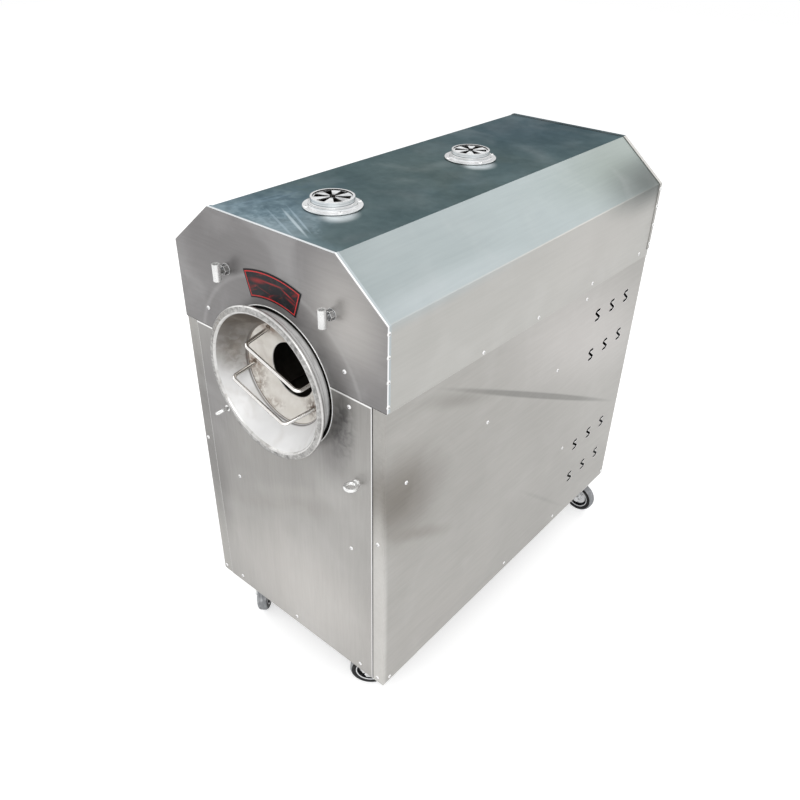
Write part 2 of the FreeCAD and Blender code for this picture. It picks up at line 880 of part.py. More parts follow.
socket_places = (half - d.socket_right_inset, d.socket_left_inset - half)
stud_bore = d.stud_radius + d.fit_clearance
stud_cut = widened((front, front + gauge), d.cut_overrun)
stud_holes = group(*[rod("Y", (x, raised(socket_height)), stud_cut, stud_bore) for x in socket_places])
front_end = hood_end((front, front + gauge), (front + gauge, front + gauge + d.hood_return))
rear_end = hood_end((rear - gauge, rear), (rear - gauge - d.hood_return, rear - gauge))
keep("hood_front_plate", cut(front_end, mouth_hole, stud_holes, screw_holes))
keep("hood_rear_plate", cut(rear_end, screw_holes))

# Heating elements: three bent rods that lie along the chamber, under the drum
element_pins = (d.element_bend, -d.element_bend)
element_circle = drum_radius + d.element_gap
element_rear = setback(bulkhead_setback + d.element_tail)
element_angles = (-d.element_spread_angle, 0, d.element_spread_angle)


def element_spot(angle, offset):
    """Return the place across the machine of one leg of a heating element."""
    x = element_circle * sine(angle) + offset * cosine(angle)
    z = drum_z - element_circle * cosine(angle) + offset * sine(angle)
    return x, z


def element_holes(gap):
    """Make the holes for all legs, with a gap round each."""
    span = (setback(d.element_front), element_rear + d.cut_overrun)
    return [
        rod("Y", element_spot(angle, pin), span, d.element_radius + gap)
        for angle in element_angles
        for pin in element_pins
    ]


elements = []
for angle in element_angles:
    bend = doc.addObject("Part::Torus", "Bend")
    bind(bend, "Radius1", d.element_bend)
    bind(bend, "Radius2", d.element_radius)
    bend.Angle3 = 180
    x, z = element_spot(angle, 0)
    lean = Rotation(Vector(0, 1, 0), -number_of(angle)) * Rotation(Vector(0, 0, 1), 180)
    place(bend, x, setback(d.element_front), z, lean)
    legs = [
        rod("Y", element_spot(angle, pin), (setback(d.element_front), element_rear), d.element_radius)
        for pin in element_pins
    ]
    elements.append(fuse(bend, *legs))
keep("heating_elements", group(*elements))

# Bulkhead between the hot and the drive compartments
bulkhead_span = (bulkhead_front, bulkhead_front + gauge)
wall = plate("Y", hood_points(gauge * 3, base), bulkhead_span)
shaft_hole = rod("Y", (0, drum_z), widened(bulkhead_span, d.cut_overrun), d.shaft_radius + d.shaft_hole_gap)
keep("bulkhead", cut(wall, shaft_hole, *element_holes(d.element_hole_gap)))

# Heating chamber and its blanket
chamber_axis = (0, chamber_z)
chamber_span = (front + gauge, bulkhead_front)
ring_span = (front + gauge, front + gauge + d.chamber_flange_gauge)
barrel = tube("Y", chamber_axis, chamber_span, chamber_radius, chamber_bore)
ring = tube("Y", chamber_axis, ring_span, chamber_radius, chamber_flange_inner)
keep("chamber_shell", cut(fuse(barrel, ring), duct_holes, eye_holes, screw_holes))
blanket_span = (front_post[1], bulkhead_front - d.running_gap)
blanket_bore = chamber_radius + d.running_gap
blanket = tube("Y", chamber_axis, blanket_span, blanket_bore + d.insulation_thickness, blanket_bore)
keep("chamber_insulation", cut(blanket, duct_holes))


def cradle(bore, half_width, span):
    """Make a cradle that fills the chamber's floor below a bore round the drum's axis."""
    disc = rod("Y", chamber_axis, span, chamber_bore - d.running_gap)
    slab = box((-half_width, half_width), span, (chamber_z - chamber_radius, chamber_z))
    return cut(common(disc, slab), rod("Y", (0, drum_z), widened(span, d.cut_overrun), bore))


brackets = []
for distance in (d.cradle_front_setback, bulkhead_setback - d.cradle_rear_gap):
    bracket_span = (setback(distance), setback(distance) + d.cradle_gauge)
    brackets.append(cradle(drum_radius + d.cradle_gap, d.cradle_half_width, bracket_span))
keep("heater_brackets", cut(group(*brackets), *element_holes(d.running_gap)))

# Vents on the roof, each with a fixed rosette and a rotary damper above it
vent_flange_top = roof + d.vent_flange_gauge
vent_step_top = vent_flange_top + d.vent_step_height
vent_rim = roof + d.vent_height
damper_top = vent_rim - d.rosette_sink
damper_low = damper_top - d.rosette_gauge
rosette_top = damper_low - d.running_gap
rosette_low = rosette_top - d.rosette_gauge
rosette_reach = vent_bore - d.rosette_rim


def rosette(centre, level, radius, bore, turn):
    """Make a disc with a ring of windows, at a centre and a level, with its first window turned."""
    body = doc.addObject("PartDesign::Body", "Rosette")
    disc = body.newObject("PartDesign::Pad", "Disc")
    round_sketch = body.newObject("Sketcher::SketchObject", "Rim")
    plane = [part for part in body.Origin.OriginFeatures if part.Role == "XY_Plane"][0]
    round_sketch.AttachmentSupport = [(plane, "")]
    round_sketch.MapMode = "FlatFace"
    for index, size in enumerate((radius, bore) if bore else (radius,)):
        round_sketch.addGeometry(Part.Circle(Vector(), Vector(0, 0, 1), number_of(size)), False)
        round_sketch.addConstraint(Sketcher.Constraint("Coincident", index, 3, -1, 1))
        held = round_sketch.addConstraint(Sketcher.Constraint("Radius", index, number_of(size)))
        round_sketch.setExpression(f"Constraints[{held}]", size.formula)
    disc.Profile = round_sketch
    bind(disc, "Length", d.rosette_gauge)
    near = (d.rosette_hub * sine(d.window_half_angle), d.rosette_hub * cosine(d.window_half_angle))
    far = (rosette_reach * sine(d.window_half_angle), rosette_reach * cosine(d.window_half_angle))
    outline = [near, far, (-far[0], far[1]), (-near[0], near[1])]
    window = body.newObject("PartDesign::Pocket", "Window")
    window.Profile = closed_sketch(body, "XY_Plane", outline)
    bind(window, "Length", d.rosette_gauge)
    window.Reversed = True
    ring_of = body.newObject("PartDesign::PolarPattern", "Windows")
    ring_of.Originals = [window]
    ring_of.Axis = (round_sketch, ["N_Axis"])
    ring_of.Angle = 360
    ring_of.Occurrences = PETALS
    body.Tip = ring_of
    place(body, *centre, level, Rotation(Vector(0, 0, 1), turn))
    return body


vents = []
for name, vent in zip(("front", "rear"), vent_setbacks):
    spot = (0, setback(vent))
    collar = fuse(
        rod("Z", spot, (roof, vent_flange_top), vent_flange_radius),
        rod("Z", spot, (vent_flange_top, vent_step_top), vent_step_radius),
        rod("Z", spot, (vent_flange_top, vent_rim), d.vent_collar_radius),
    )
    duct_bore = duct_radius - d.duct_wall
    throat = rod("Z", spot, (chamber_z, rosette_low), duct_bore)
    mouth = rod("Z", spot, (rosette_low, vent_rim + d.cut_overrun), vent_bore)
    chamber_clear = rod("Y", chamber_axis, chamber_span, chamber_radius + d.running_gap)
    duct = cut(rod("Z", spot, (chamber_z, roof), duct_radius), chamber_clear)
    spigot = cut(fuse(collar, duct), throat, mouth)
    fixed = rosette(spot, rosette_low, vent_bore, None, 0)
    pin = fuse(
        rod("Z", spot, (rosette_top, damper_top + d.running_gap), d.rosette_pin_radius),
        rod("Z", spot, (damper_top + d.running_gap, damper_top + d.rosette_gauge), d.rosette_cap_radius),
    )
    holes = cut(spigot, screw_holes)
    vents += [holes, fuse(fixed, pin)]
    pin_fit = d.rosette_pin_radius + d.fit_clearance
    rest_angle = number_of(d.damper_rest_angle)
    keep(f"vent_damper_{name}", rosette(spot, damper_low, vent_bore - d.running_gap, pin_fit, rest_angle))
keep("vent_collars", group(*vents))

# Badge: a curved plate over the mouth
badge_span = (front - d.badge_gauge, front)
badge_inner = mouth_opening_radius + d.badge_gap
badge_outer = badge_inner + d.badge_height
badge_ring = tube("Y", chamber_axis, badge_span, badge_outer, badge_inner)
badge_reach = badge_outer / cosine(d.badge_half_angle)
badge_left = d.badge_turn_angle - d.badge_half_angle
badge_right = d.badge_turn_angle + d.badge_half_angle
badge_wedge = plate(
    "Y",
    [
        (0, chamber_z),
        (badge_reach * sine(badge_left), chamber_z + badge_reach * cosine(badge_left)),
        (badge_reach * sine(d.badge_turn_angle), chamber_z + badge_reach * cosine(d.badge_turn_angle) * 2),
        (badge_reach * sine(badge_right), chamber_z + badge_reach * cosine(badge_right)),
    ],
    badge_span,
)
keep("badge_plate", common(badge_ring, badge_wedge))

# Tool sockets: a short tube on a stud with nuts on both sides of the hood plate
sockets = []
for x in socket_places:
    z = raised(socket_height)
    centre_y = front - socket_stand
    lower = z - d.socket_length / 2
    upper = z + d.socket_length / 2
    tail = front + gauge + d.stud_tail
    holder = fuse(
        rod("Z", (x, centre_y), (lower, upper), d.socket_radius),
        rod("Y", (x, z), (centre_y, tail), d.stud_radius),
    )
    tool_bore = rod("Z", (x, centre_y), widened((lower, upper), d.cut_overrun), d.socket_bore)
    sockets.append(cut(holder, tool_bore))
    washer = (front - d.stud_washer_gauge, front)
    outer_nut = (washer[0] - d.stud_nut_height, washer[0])
    inner_nut = (front + gauge, front + gauge + d.stud_nut_height)
    sockets.append(tube("Y", (x, z), washer, d.stud_washer_radius, stud_bore))
    for span in (outer_nut, inner_nut):
        nut_hole = rod("Y", (x, z), widened(span, d.cut_overrun), stud_bore)
        sockets.append(cut(prism("Y", (x, z), span, d.stud_nut_side), nut_hole))
keep("tool_sockets", group(*sockets))

# Eye bolts through the front panel, each ring turned about its shank
eyes = []
for x, turn in eye_places:
    z = raised(eye_height)
    ring_span = (-d.eye_gauge / 2, d.eye_gauge / 2)
    ring = rod("Z", (0, -eye_stand), ring_span, d.eye_radius)
    collar = rod("Y", (0, 0), (-d.eye_collar_gauge, 0), d.eye_collar_radius)
    shank = rod("Y", (0, 0), (-d.eye_collar_gauge, d.eye_tail), d.eye_shank_radius)
    bore = rod("Z", (0, -eye_stand), widened(ring_span, d.cut_overrun), d.eye_bore)
    eye = cut(fuse(ring, collar, shank), bore)
    place(eye, x, front, z, Rotation(Vector(0, 1, 0), -number_of(turn)))
    nut_front = front + gauge + d.chamber_flange_gauge
    nut_span = (nut_front, nut_front + d.eye_nut_height)
    nut_bore = rod("Y", (x, z), widened(nut_span, d.cut_overrun), eye_shank_bore)
    eyes += [eye, cut(prism("Y", (x, z), nut_span, d.eye_nut_side), nut_bore)]
keep("eye_bolts", group(*eyes))

# Drum: shell with its front wall and riding ring, funnel, feed cone, flights, rear wall, shaft and pulley
drum_axis = (0, drum_z)
step = funnel_step_radius + d.feed_sheet
bore_fit = step + d.running_gap
shell_profile = [
    (bore_fit, d.drum_front),
    (drum_radius, d.drum_front),
    (drum_radius, d.riding_ring_front),
    (riding_ring_radius, d.riding_ring_front),
    (riding_ring_radius, d.riding_ring_front + d.riding_ring_width),
    (drum_radius, d.riding_ring_front + d.riding_ring_width),
    (drum_radius, drum_rear),
    (drum_radius - d.drum_wall, drum_rear),
    (drum_radius - d.drum_wall, d.drum_front + d.drum_plate_gauge),
    (bore_fit, d.drum_front + d.drum_plate_gauge),
]
keep("drum_shell", turned("Y", drum_axis, front, shell_profile))

funnel_profile = [
    (mouth_inner_radius + d.mouth_lip_bevel, -d.mouth_front),
    (mouth_lip_radius - d.mouth_lip_bevel, -d.mouth_front),
    (mouth_lip_radius, d.mouth_lip_bevel - d.mouth_front),
    (mouth_lip_radius, d.mouth_lip_depth - d.mouth_front),
    (mouth_neck_radius, -d.mouth_neck_front),
    (mouth_neck_radius - d.mouth_neck_draft, d.drum_front),
    (bore_fit, d.drum_front),
    (bore_fit, d.funnel_step_setback),
    (funnel_step_radius, d.funnel_step_setback),
    (mouth_inner_radius, d.mouth_lip_bevel - d.mouth_front),
]
keep("mouth_funnel", turned("Y", drum_axis, front, funnel_profile))

cone_profile = [
    (feed_hole_radius, d.feed_hole_setback),
    (step, d.funnel_step_setback),
    (step, d.funnel_step_setback + d.feed_sheet),
    (feed_hole_radius, d.feed_hole_setback + d.feed_sheet),
]
keep("feed_cone", turned("Y", drum_axis, front, cone_profile))

cone_slope = (d.feed_hole_setback - d.funnel_step_setback) / (step - feed_hole_radius)
cone_backing = turned(
    "Y",
    drum_axis,
    front,
    [
        (0, d.funnel_step_setback + step * cone_slope),
        (step, d.funnel_step_setback),
        (step, d.feed_hole_setback * 2),
        (0, d.feed_hole_setback * 2),
    ],
)


def bent_rod(points, bend, radius):
    """Return a round bar along straight runs joined by arcs of one bend radius."""
    edges = []
    start = points[0]
    for before, corner, after in zip(points, points[1:], points[2:]):
        back = (before - corner).normalize()
        ahead = (after - corner).normalize()
        half_turn = back.getAngle(ahead) / 2
        reach = bend / math.tan(half_turn)
        middle_way = (back + ahead).normalize()
        centre = corner + middle_way * (bend / math.sin(half_turn))
        first = corner + back * reach
        last = corner + ahead * reach
        edges.append(Part.LineSegment(start, first).toShape())
        edges.append(Part.Arc(first, centre - middle_way * bend, last).toShape())
        start = last
    edges.append(Part.LineSegment(start, points[-1]).toShape())
    tip = Part.Circle(points[0], (points[1] - points[0]).normalize(), radius).toShape()
    return Part.Wire(edges).makePipeShell([Part.Wire([tip])], True, True)


def rod_point(u, v, y):
    """Return a point in the funnel from its places along and across the bars."""
    across_bar = cosine(d.rod_tilt_angle)
    down_bar = sine(d.rod_tilt_angle)
    x = u * across_bar + v * down_bar
    z = drum_z + v * across_bar - u * down_bar
    return Vector(number_of(x), number_of(setback(y)), number_of(z))


bars = []
for level, left, right, first_foot, last_foot in ROD_SHARES:
    reach = funnel_step_radius
    path = [
        rod_point(reach * first_foot[0], reach * first_foot[1], d.feed_hole_setback),
        rod_point(reach * left, reach * level, -d.mouth_front - d.rod_proud),
        rod_point(reach * right, reach * level, -d.mouth_front - d.rod_proud),
        rod_point(reach * last_foot[0], reach * last_foot[1], d.feed_hole_setback),
    ]
    bar = doc.addObject("Part::Feature", "Bar")
    bar.Shape = bent_rod(path, d.rod_bend.number, d.rod_radius.number)
    bars.append(bar)
keep("mouth_rods", cut(group(*bars), cone_backing))

flight_outer = drum_radius - d.drum_wall - d.running_gap
flight_span = (setback(d.drum_front + d.flight_inset), setback(drum_rear - d.flight_tail))
flight = box(
    widened((0, 0), d.flight_gauge * HALF_SHARE),
    flight_span,
    (flight_outer - d.flight_height, flight_outer),
)
doc.recompute()
flight_turns = []
for index in range(FLIGHTS):
    flight_turn = Rotation(Vector(0, 1, 0), 360 / FLIGHTS * (index + HALF_SHARE))
    flight_turns.append(Placement(Vector(0, 0, number_of(drum_z)), flight_turn))
keep("drum_flights", copies(flight.Shape, flight_turns))

rear_wall = (setback(drum_rear), setback(drum_rear) + d.drum_plate_gauge)
keep("drum_rear_plate", rod("Y", drum_axis, rear_wall, drum_radius))
pulley_span = (setback(pulley_setback), setback(pulley_setback) + d.pulley_width)
shaft_end = pulley_span[1] + d.cut_overrun
shaft_flange = rod("Y", drum_axis, (rear_wall[1], rear_wall[1] + d.shaft_flange_gauge), d.shaft_flange_radius)
keep("drum_shaft", fuse(shaft_flange, rod("Y", drum_axis, (rear_wall[1], shaft_end), d.shaft_radius)))


def pulley_profile(bore, groove, hub=None):
    """Return a belt pulley's profile of radii and places along its axis, with a thin web if it has a hub."""
    width = d.pulley_width
    belt_low = (width - d.belt_width) / 2 - d.running_gap
    belt_high = width - belt_low
    rim = groove + d.pulley_flange
    rim_side = [
        (rim, 0),
        (rim, belt_low - d.groove_flare),
        (groove, belt_low),
        (groove, belt_high),
        (rim, belt_high + d.groove_flare),
        (rim, width),
    ]
    if hub is None:
        return [(bore, 0)] + rim_side + [(bore, width)]
    web_low = (width - d.pulley_web) / 2
    web_high = web_low + d.pulley_web
    shelf = groove - d.belt_thickness
    front_side = [(bore, 0), (hub, 0), (hub, web_low), (shelf, web_low), (shelf, 0)]
    rear_side = [(shelf, width), (shelf, web_high), (hub, web_high), (hub, width), (bore, width)]
    return front_side + rim_side + rear_side


big_pulley = pulley_profile(
    d.shaft_radius + d.fit_clearance, d.pulley_groove_radius, d.pulley_hub_radius
)
keep("drum_pulley", turned("Y", drum_axis, pulley_span[0], big_pulley))

# Support rollers on a carrier in the chamber's floor
roller_orbit = riding_ring_radius + d.running_gap + d.roller_radius
roller_z = drum_z - roller_orbit * cosine(d.roller_angle)
roller_spots = [(side * roller_orbit * sine(d.roller_angle), roller_z) for side in (-1, 1)]
roller_bore = d.roller_pin_radius + d.fit_clearance
carrier_span = (setback(d.carrier_setback), setback(d.carrier_setback) + d.carrier_gauge)
roller_front = carrier_span[1] + d.roller_shoulder_length + d.running_gap
roller_span = (roller_front, roller_front + d.roller_width)
carrier = [cradle(drum_radius + d.carrier_gap, d.carrier_half_width, carrier_span)]
for spot in roller_spots:
    pin_end = roller_span[1] + d.running_gap + d.pin_washer_gauge
    carrier.append(rod("Y", spot, (carrier_span[1], roller_front - d.running_gap), d.roller_shoulder_radius))
    carrier.append(rod("Y", spot, (carrier_span[1], pin_end), d.roller_pin_radius))
    carrier.append(rod("Y", spot, (roller_span[1] + d.running_gap, pin_end), d.roller_shoulder_radius))
keep("roller_carrier", fuse(*carrier))
for name, spot in zip(("left", "right"), roller_spots):
    keep(f"roller_{name}", tube("Y", spot, roller_span, d.roller_radius, roller_bore))

# Rear bearing on its rail
bearing_rail_top = raised(bearing_rail_height) + d.tube_side
bearing_foot_z = (bearing_rail_top, bearing_rail_top + d.bearing_foot)
bearing_y = widened((mid_post[0] + d.tube_side / 2,) * 2, d.tube_side / 2 - d.bearing_margin)
block = fuse(
    box((-d.bearing_half_width, d.bearing_half_width), bearing_y, bearing_foot_z),
    box((-d.bearing_neck_half, d.bearing_neck_half), bearing_y, (bearing_foot_z[0], drum_z)),
    rod("Y", drum_axis, bearing_y, d.bearing_radius),
)
bearing_bore = rod("Y", drum_axis, widened(bearing_y, d.cut_overrun), d.shaft_radius + d.fit_clearance)
bearing_bolts = []
for side in (1, -1):
    bolt_x = side * (d.bearing_half_width + d.bearing_neck_half) / 2
    bolt_y = mid_post[0] + d.tube_side / 2
    bolt_span = (bearing_foot_z[1], bearing_foot_z[1] + d.caster_bolt_head)
    bearing_bolts.append(prism("Z", (bolt_x, bolt_y), bolt_span, d.caster_bolt_side))
keep("rear_bearing", group(cut(block, bearing_bore), *bearing_bolts))

# Gearbox, motor, small pulley and belt
gear_low = raised(d.motor_rail_height) + d.tube_side
gear_z = gear_low + d.gearbox_height / 2
gear_x = widened((0, 0), d.gearbox_width / 2)
gear_front = setback(bulkhead_setback + d.gearbox_gap)
gear_y = (gear_front, gear_front + d.gearbox_length)
gear_axis = (0, gear_z)
gear_seat = (gear_front - d.cut_overrun, gear_front + d.gear_shaft_seat + d.running_gap)
gear_bore = rod("Y", gear_axis, gear_seat, d.gear_shaft_radius + d.fit_clearance)
keep("gearbox", cut(box(gear_x, gear_y, (gear_low, gear_low + d.gearbox_height)), gear_bore))

motor_y = gear_y[0] + d.gearbox_length / 2
motor_span = (gear_x[1], frame_inner - d.motor_gap - d.fan_cover_length)
terminal_x = widened(((motor_span[0] + motor_span[1]) / 2,) * 2, d.terminal_box_side / 2)
terminal_top = gear_z + d.motor_radius + d.terminal_box_height
motor_body = fuse(
    rod("X", (motor_y, gear_z), motor_span, d.motor_radius),
    rod("X", (motor_y, gear_z), (motor_span[1], motor_span[1] + d.fan_cover_length), d.fan_cover_radius),
    box(terminal_x, widened((motor_y, motor_y), d.terminal_box_side / 2), (gear_z, terminal_top)),
)
keep("motor", motor_body)

gear_shaft = rod("Y", gear_axis, (pulley_span[0], gear_y[0] + d.gear_shaft_seat), d.gear_shaft_radius)
small_bore = d.gear_shaft_radius + d.fit_clearance
small_profile = pulley_profile(small_bore, d.small_groove_radius)
keep("motor_pulley", group(turned("Y", gear_axis, pulley_span[0], small_profile), gear_shaft))

belt_span = widened((pulley_span[0] + d.pulley_width / 2,) * 2, d.belt_width / 2)
belt_gap = d.running_gap
centre_distance = drum_z - gear_z
belt_lean = (d.pulley_groove_radius - d.small_groove_radius) / centre_distance
belt_level = root(belt_lean * belt_lean * -1 + 1)


def belt_loop(thickness, span):
    """Make the filled loop of a belt round both pulleys, at a thickness from their grooves."""
    large = d.pulley_groove_radius + belt_gap + thickness
    small = d.small_groove_radius + belt_gap + thickness
    sides = plate(
        "Y",
        [
            (-(large * belt_level), drum_z - large * belt_lean),
            (large * belt_level, drum_z - large * belt_lean),
            (small * belt_level, gear_z - small * belt_lean),
            (-(small * belt_level), gear_z - small * belt_lean),
        ],
        span,
    )
    return fuse(rod("Y", drum_axis, span, large), rod("Y", gear_axis, span, small), sides)


belt_outside = belt_loop(d.belt_thickness, belt_span)
belt_inside = belt_loop(0, widened(belt_span, d.cut_overrun))
keep("drive_belt", cut(belt_outside, belt_inside))

# Controls on the rear panel
control_z = frame_top - d.tube_side - d.control_drop - d.control_height / 2
control_y = (rear, rear + d.control_gauge)
control_sheet = box(
    widened((-control_offset, -control_offset), d.control_width / 2),
    control_y,
    widened((control_z, control_z), d.control_height / 2),
)
spots = {
    "main_switch": (d.control_spread - control_offset, control_z - d.control_rise),
    "thermostat_knob": (d.control_spread - control_offset, control_z + d.control_rise),
    "pilot_lamp": (-d.control_spread - control_offset + d.control_rise / 2, control_z + d.control_rise),
    "start_button": (-control_offset, control_z - d.control_rise),
    "stop_button": (-d.control_spread - control_offset, control_z - d.control_rise),
}
stem_holes = [
    rod("Y", spots[name], widened(control_y, d.cut_overrun), d.stem_radius + d.fit_clearance)
    for name in ("main_switch", "thermostat_knob", "pilot_lamp")
]
bezel_span = (control_y[1], control_y[1] + d.bezel_height)
bezel_bore = d.button_radius + d.fit_clearance
bezels = [
    tube("Y", spots[name], bezel_span, d.bezel_radius, bezel_bore) for name in ("start_button", "stop_button")
]
bored_sheet = cut(control_sheet, *stem_holes)
keep("control_panel", fuse(bored_sheet, *bezels))
keep(
    "electrical_box",
    box(
        widened((-control_offset, -control_offset), d.box_width / 2),
        (rear - gauge - d.box_depth, rear - gauge),
        widened((control_z, control_z), d.control_height / 2),
    ),
)


def stem(spot):
    """Make the stem that carries a control in its hole."""
    return rod("Y", spot, (control_y[1] - d.stem_length, control_y[1] + d.running_gap), d.stem_radius)


cap_y = control_y[1] + d.running_gap
knob_spot = spots["thermostat_knob"]
knob_end = cap_y + d.knob_length
knob_step = cap_y + d.bezel_height
keep(
    "thermostat_knob",
    fuse(
        stem(knob_spot),
        rod("Y", knob_spot, (cap_y, knob_end), d.knob_radius - d.knob_step),
        rod("Y", knob_spot, (cap_y, knob_step), d.knob_radius),
    ),
)
switch_spot = spots["main_switch"]
grip = box(
    widened((switch_spot[0], switch_spot[0]), d.switch_grip / 2),
    (cap_y, cap_y + d.bezel_height * 2),
    widened((switch_spot[1], switch_spot[1]), d.switch_radius - d.knob_step),
)
switch_disc = rod("Y", switch_spot, (cap_y, cap_y + d.bezel_height), d.switch_radius)
keep("main_switch", fuse(stem(switch_spot), switch_disc, grip))
lamp_spot = spots["pilot_lamp"]
lamp_lens = rod("Y", lamp_spot, (cap_y, cap_y + d.lamp_height), d.button_radius)
keep("pilot_lamp", fuse(stem(lamp_spot), lamp_lens))
button_low = control_y[1] + d.button_travel + d.button_play
button_top = button_low + d.button_length
keep("start_button", rod("Y", spots["start_button"], (button_low, button_top), d.button_radius))
stop_cap = (button_top, button_top + d.stop_cap_height)
keep(
    "stop_button",
    fuse(
        rod("Y", spots["stop_button"], (button_low, button_top), d.button_radius),
        rod("Y", spots["stop_button"], stop_cap, d.stop_cap_radius),
    ),
)

gland_middle = rear + d.gland_length * HALF_SHARE
gland_body = fuse(
    prism("Y", gland_spot, (rear, gland_middle), d.gland_side),
    rod("Y", gland_spot, (gland_middle, rear + d.gland_length), d.gland_side - d.gland_step),
    rod("Y", gland_spot, (rear - gauge - d.gland_nut_height, rear), d.gland_thread_radius),
    prism("Y", gland_spot, (rear - gauge - d.gland_nut_height, rear - gauge), d.gland_side),
)
gland_span = widened((rear - gauge - d.gland_nut_height, rear + d.gland_length), d.cut_overrun)
keep("cable_gland", cut(gland_body, rod("Y", gland_spot, gland_span, d.gland_bore)))

# Casters: four plates under the frame's corners, each with a swivelling fork and a wheel
kingpin_x = half - d.kingpin_inset
front_kingpin = setback(d.front_kingpin_setback)
rear_kingpin = rear - d.rear_kingpin_setback
CORNERS = {
    "front_right": (kingpin_x, front_kingpin, SIZES["front_right_angle"]),
    "front_left": (-kingpin_x, front_kingpin, SIZES["front_left_angle"]),
    "rear_right": (kingpin_x, rear_kingpin, SIZES["rear_right_angle"]),
    "rear_left": (-kingpin_x, rear_kingpin, SIZES["rear_left_angle"]),
}
pad_z = (base - d.caster_pad_gauge, base)
plate_z = (pad_z[0] - d.caster_plate_gauge, pad_z[0])
race_z = (plate_z[0] - d.race_height, plate_z[0])
crown_top = race_z[0] - d.running_gap
crown_low = crown_top - d.crown_gauge
pin_bore = d.kingpin_radius + d.fit_clearance
bolt_places = []
pads = []
tops = []
pad_right = (frame_half - d.caster_pad_side, frame_half)
pad_left = (-frame_half, d.caster_pad_side - frame_half)
pad_front = (front_post[0], front_post[0] + d.caster_pad_side)
pad_rear = (rear_post[1] - d.caster_pad_side, rear_post[1])
pin_seat = (race_z[0] - d.cut_overrun, race_z[0] + d.kingpin_length + d.running_gap)
for corner, (x, y, turn) in CORNERS.items():
    pad_x = pad_right if corner.endswith("right") else pad_left
    pad_y = pad_front if corner.startswith("front") else pad_rear
    pads.append(box(pad_x, pad_y, pad_z))
    plate_half = d.caster_plate_side / 2
    top_sheet = box(widened((x, x), plate_half), widened((y, y), plate_half), plate_z)
    race = fuse(top_sheet, rod("Z", (x, y), race_z, d.race_radius))
    tops.append(cut(race, rod("Z", (x, y), pin_seat, pin_bore)))
    spread = d.caster_bolt_spread.number
    for step_x in (-spread, spread):
        for step_y in (-spread, spread):
            bolt_spot = Vector(number_of(x) + step_x, number_of(y) + step_y, number_of(plate_z[0]))
            bolt_places.append(Placement(bolt_spot, Rotation()))
bolt_head = prism("Z", (0, 0), (-d.caster_bolt_head, 0), d.caster_bolt_side)
bolt_top = d.caster_plate_gauge + d.caster_pad_gauge
bolt = fuse(bolt_head, rod("Z", (0, 0), (0, bolt_top), d.caster_bolt_radius))
bolt_fit = d.caster_bolt_radius + d.fit_clearance
bolt_hole = rod("Z", (0, 0), (-d.caster_bolt_head, bolt_top + d.fit_clearance), bolt_fit)
doc.recompute()
bolt_holes = copies(bolt_hole.Shape, bolt_places)
bolts = copies(bolt.Shape, bolt_places)
keep("caster_plates", group(cut(group(*pads), bolt_holes), cut(group(*tops), bolt_holes), bolts))

leg_inner = d.tyre_width / 2 + d.leg_gap
leg_outer = leg_inner + d.leg_gauge
leg_height = crown_top - d.wheel_radius
axle = (d.caster_trail, d.wheel_radius)
axle_end = leg_outer + d.axle_head_height
brake_height = crown_low - d.brake_drop
brake_offset = leg_outer + d.brake_gap + d.brake_barrel_radius
leg_points = [(d.caster_trail * x, d.wheel_radius + leg_height * z) for x, z in LEG_SHARES]


def caster_fork(braked):
    """Make a caster fork about its kingpin, trailing along +X, with lugs for a brake lever if braked."""
    pieces = [
        rod("Z", (0, 0), (crown_low, crown_top), d.crown_radius),
        rod("Z", (0, 0), (crown_top, race_z[0] + d.kingpin_length), d.kingpin_radius),
        plate("Y", leg_points, (leg_inner, leg_outer)),
        plate("Y", leg_points, (-leg_outer, -leg_inner)),
        rod("Y", axle, (-axle_end, axle_end), d.axle_radius),
    ]
    for span in ((leg_outer, axle_end), (-axle_end, -leg_outer)):
        pieces.append(prism("Y", axle, span, d.axle_head_radius))
    if braked:
        ends = widened((d.brake_setback, d.brake_setback), d.brake_width / 2)
        height = widened((brake_height, brake_height), d.brake_barrel_radius)
        for lug in ((ends[0], ends[0] + d.brake_lug), (ends[1] - d.brake_lug, ends[1])):
            pieces.append(box(lug, (-brake_offset - d.brake_pin_radius * 2, -leg_outer), height))
        pieces.append(rod("X", (-brake_offset, brake_height), ends, d.brake_pin_radius))
    return fuse(*pieces)


def brake_lever():
    """Make a brake lever: a looped tread on a barrel that turns on the fork's pin."""
    gap = d.brake_lug + d.running_gap
    ends = widened((d.brake_setback, d.brake_setback), d.brake_width / 2 - gap)
    barrel = rod("X", (-brake_offset, brake_height), ends, d.brake_barrel_radius)
    tread_y = (-brake_offset - d.brake_reach, -brake_offset)
    tread = box(ends, tread_y, widened((brake_height, brake_height), d.brake_gauge / 2))
    loop_y = (tread_y[0] + d.brake_rim, -brake_offset - d.brake_barrel_radius)
    loop = box(widened(ends, -d.brake_rim), loop_y, widened((brake_height, brake_height), d.brake_gauge))
    pin_fit = d.brake_pin_radius + d.fit_clearance
    pin_hole = rod("X", (-brake_offset, brake_height), widened(ends, d.cut_overrun), pin_fit)
    return cut(fuse(barrel, tread), loop, pin_hole)


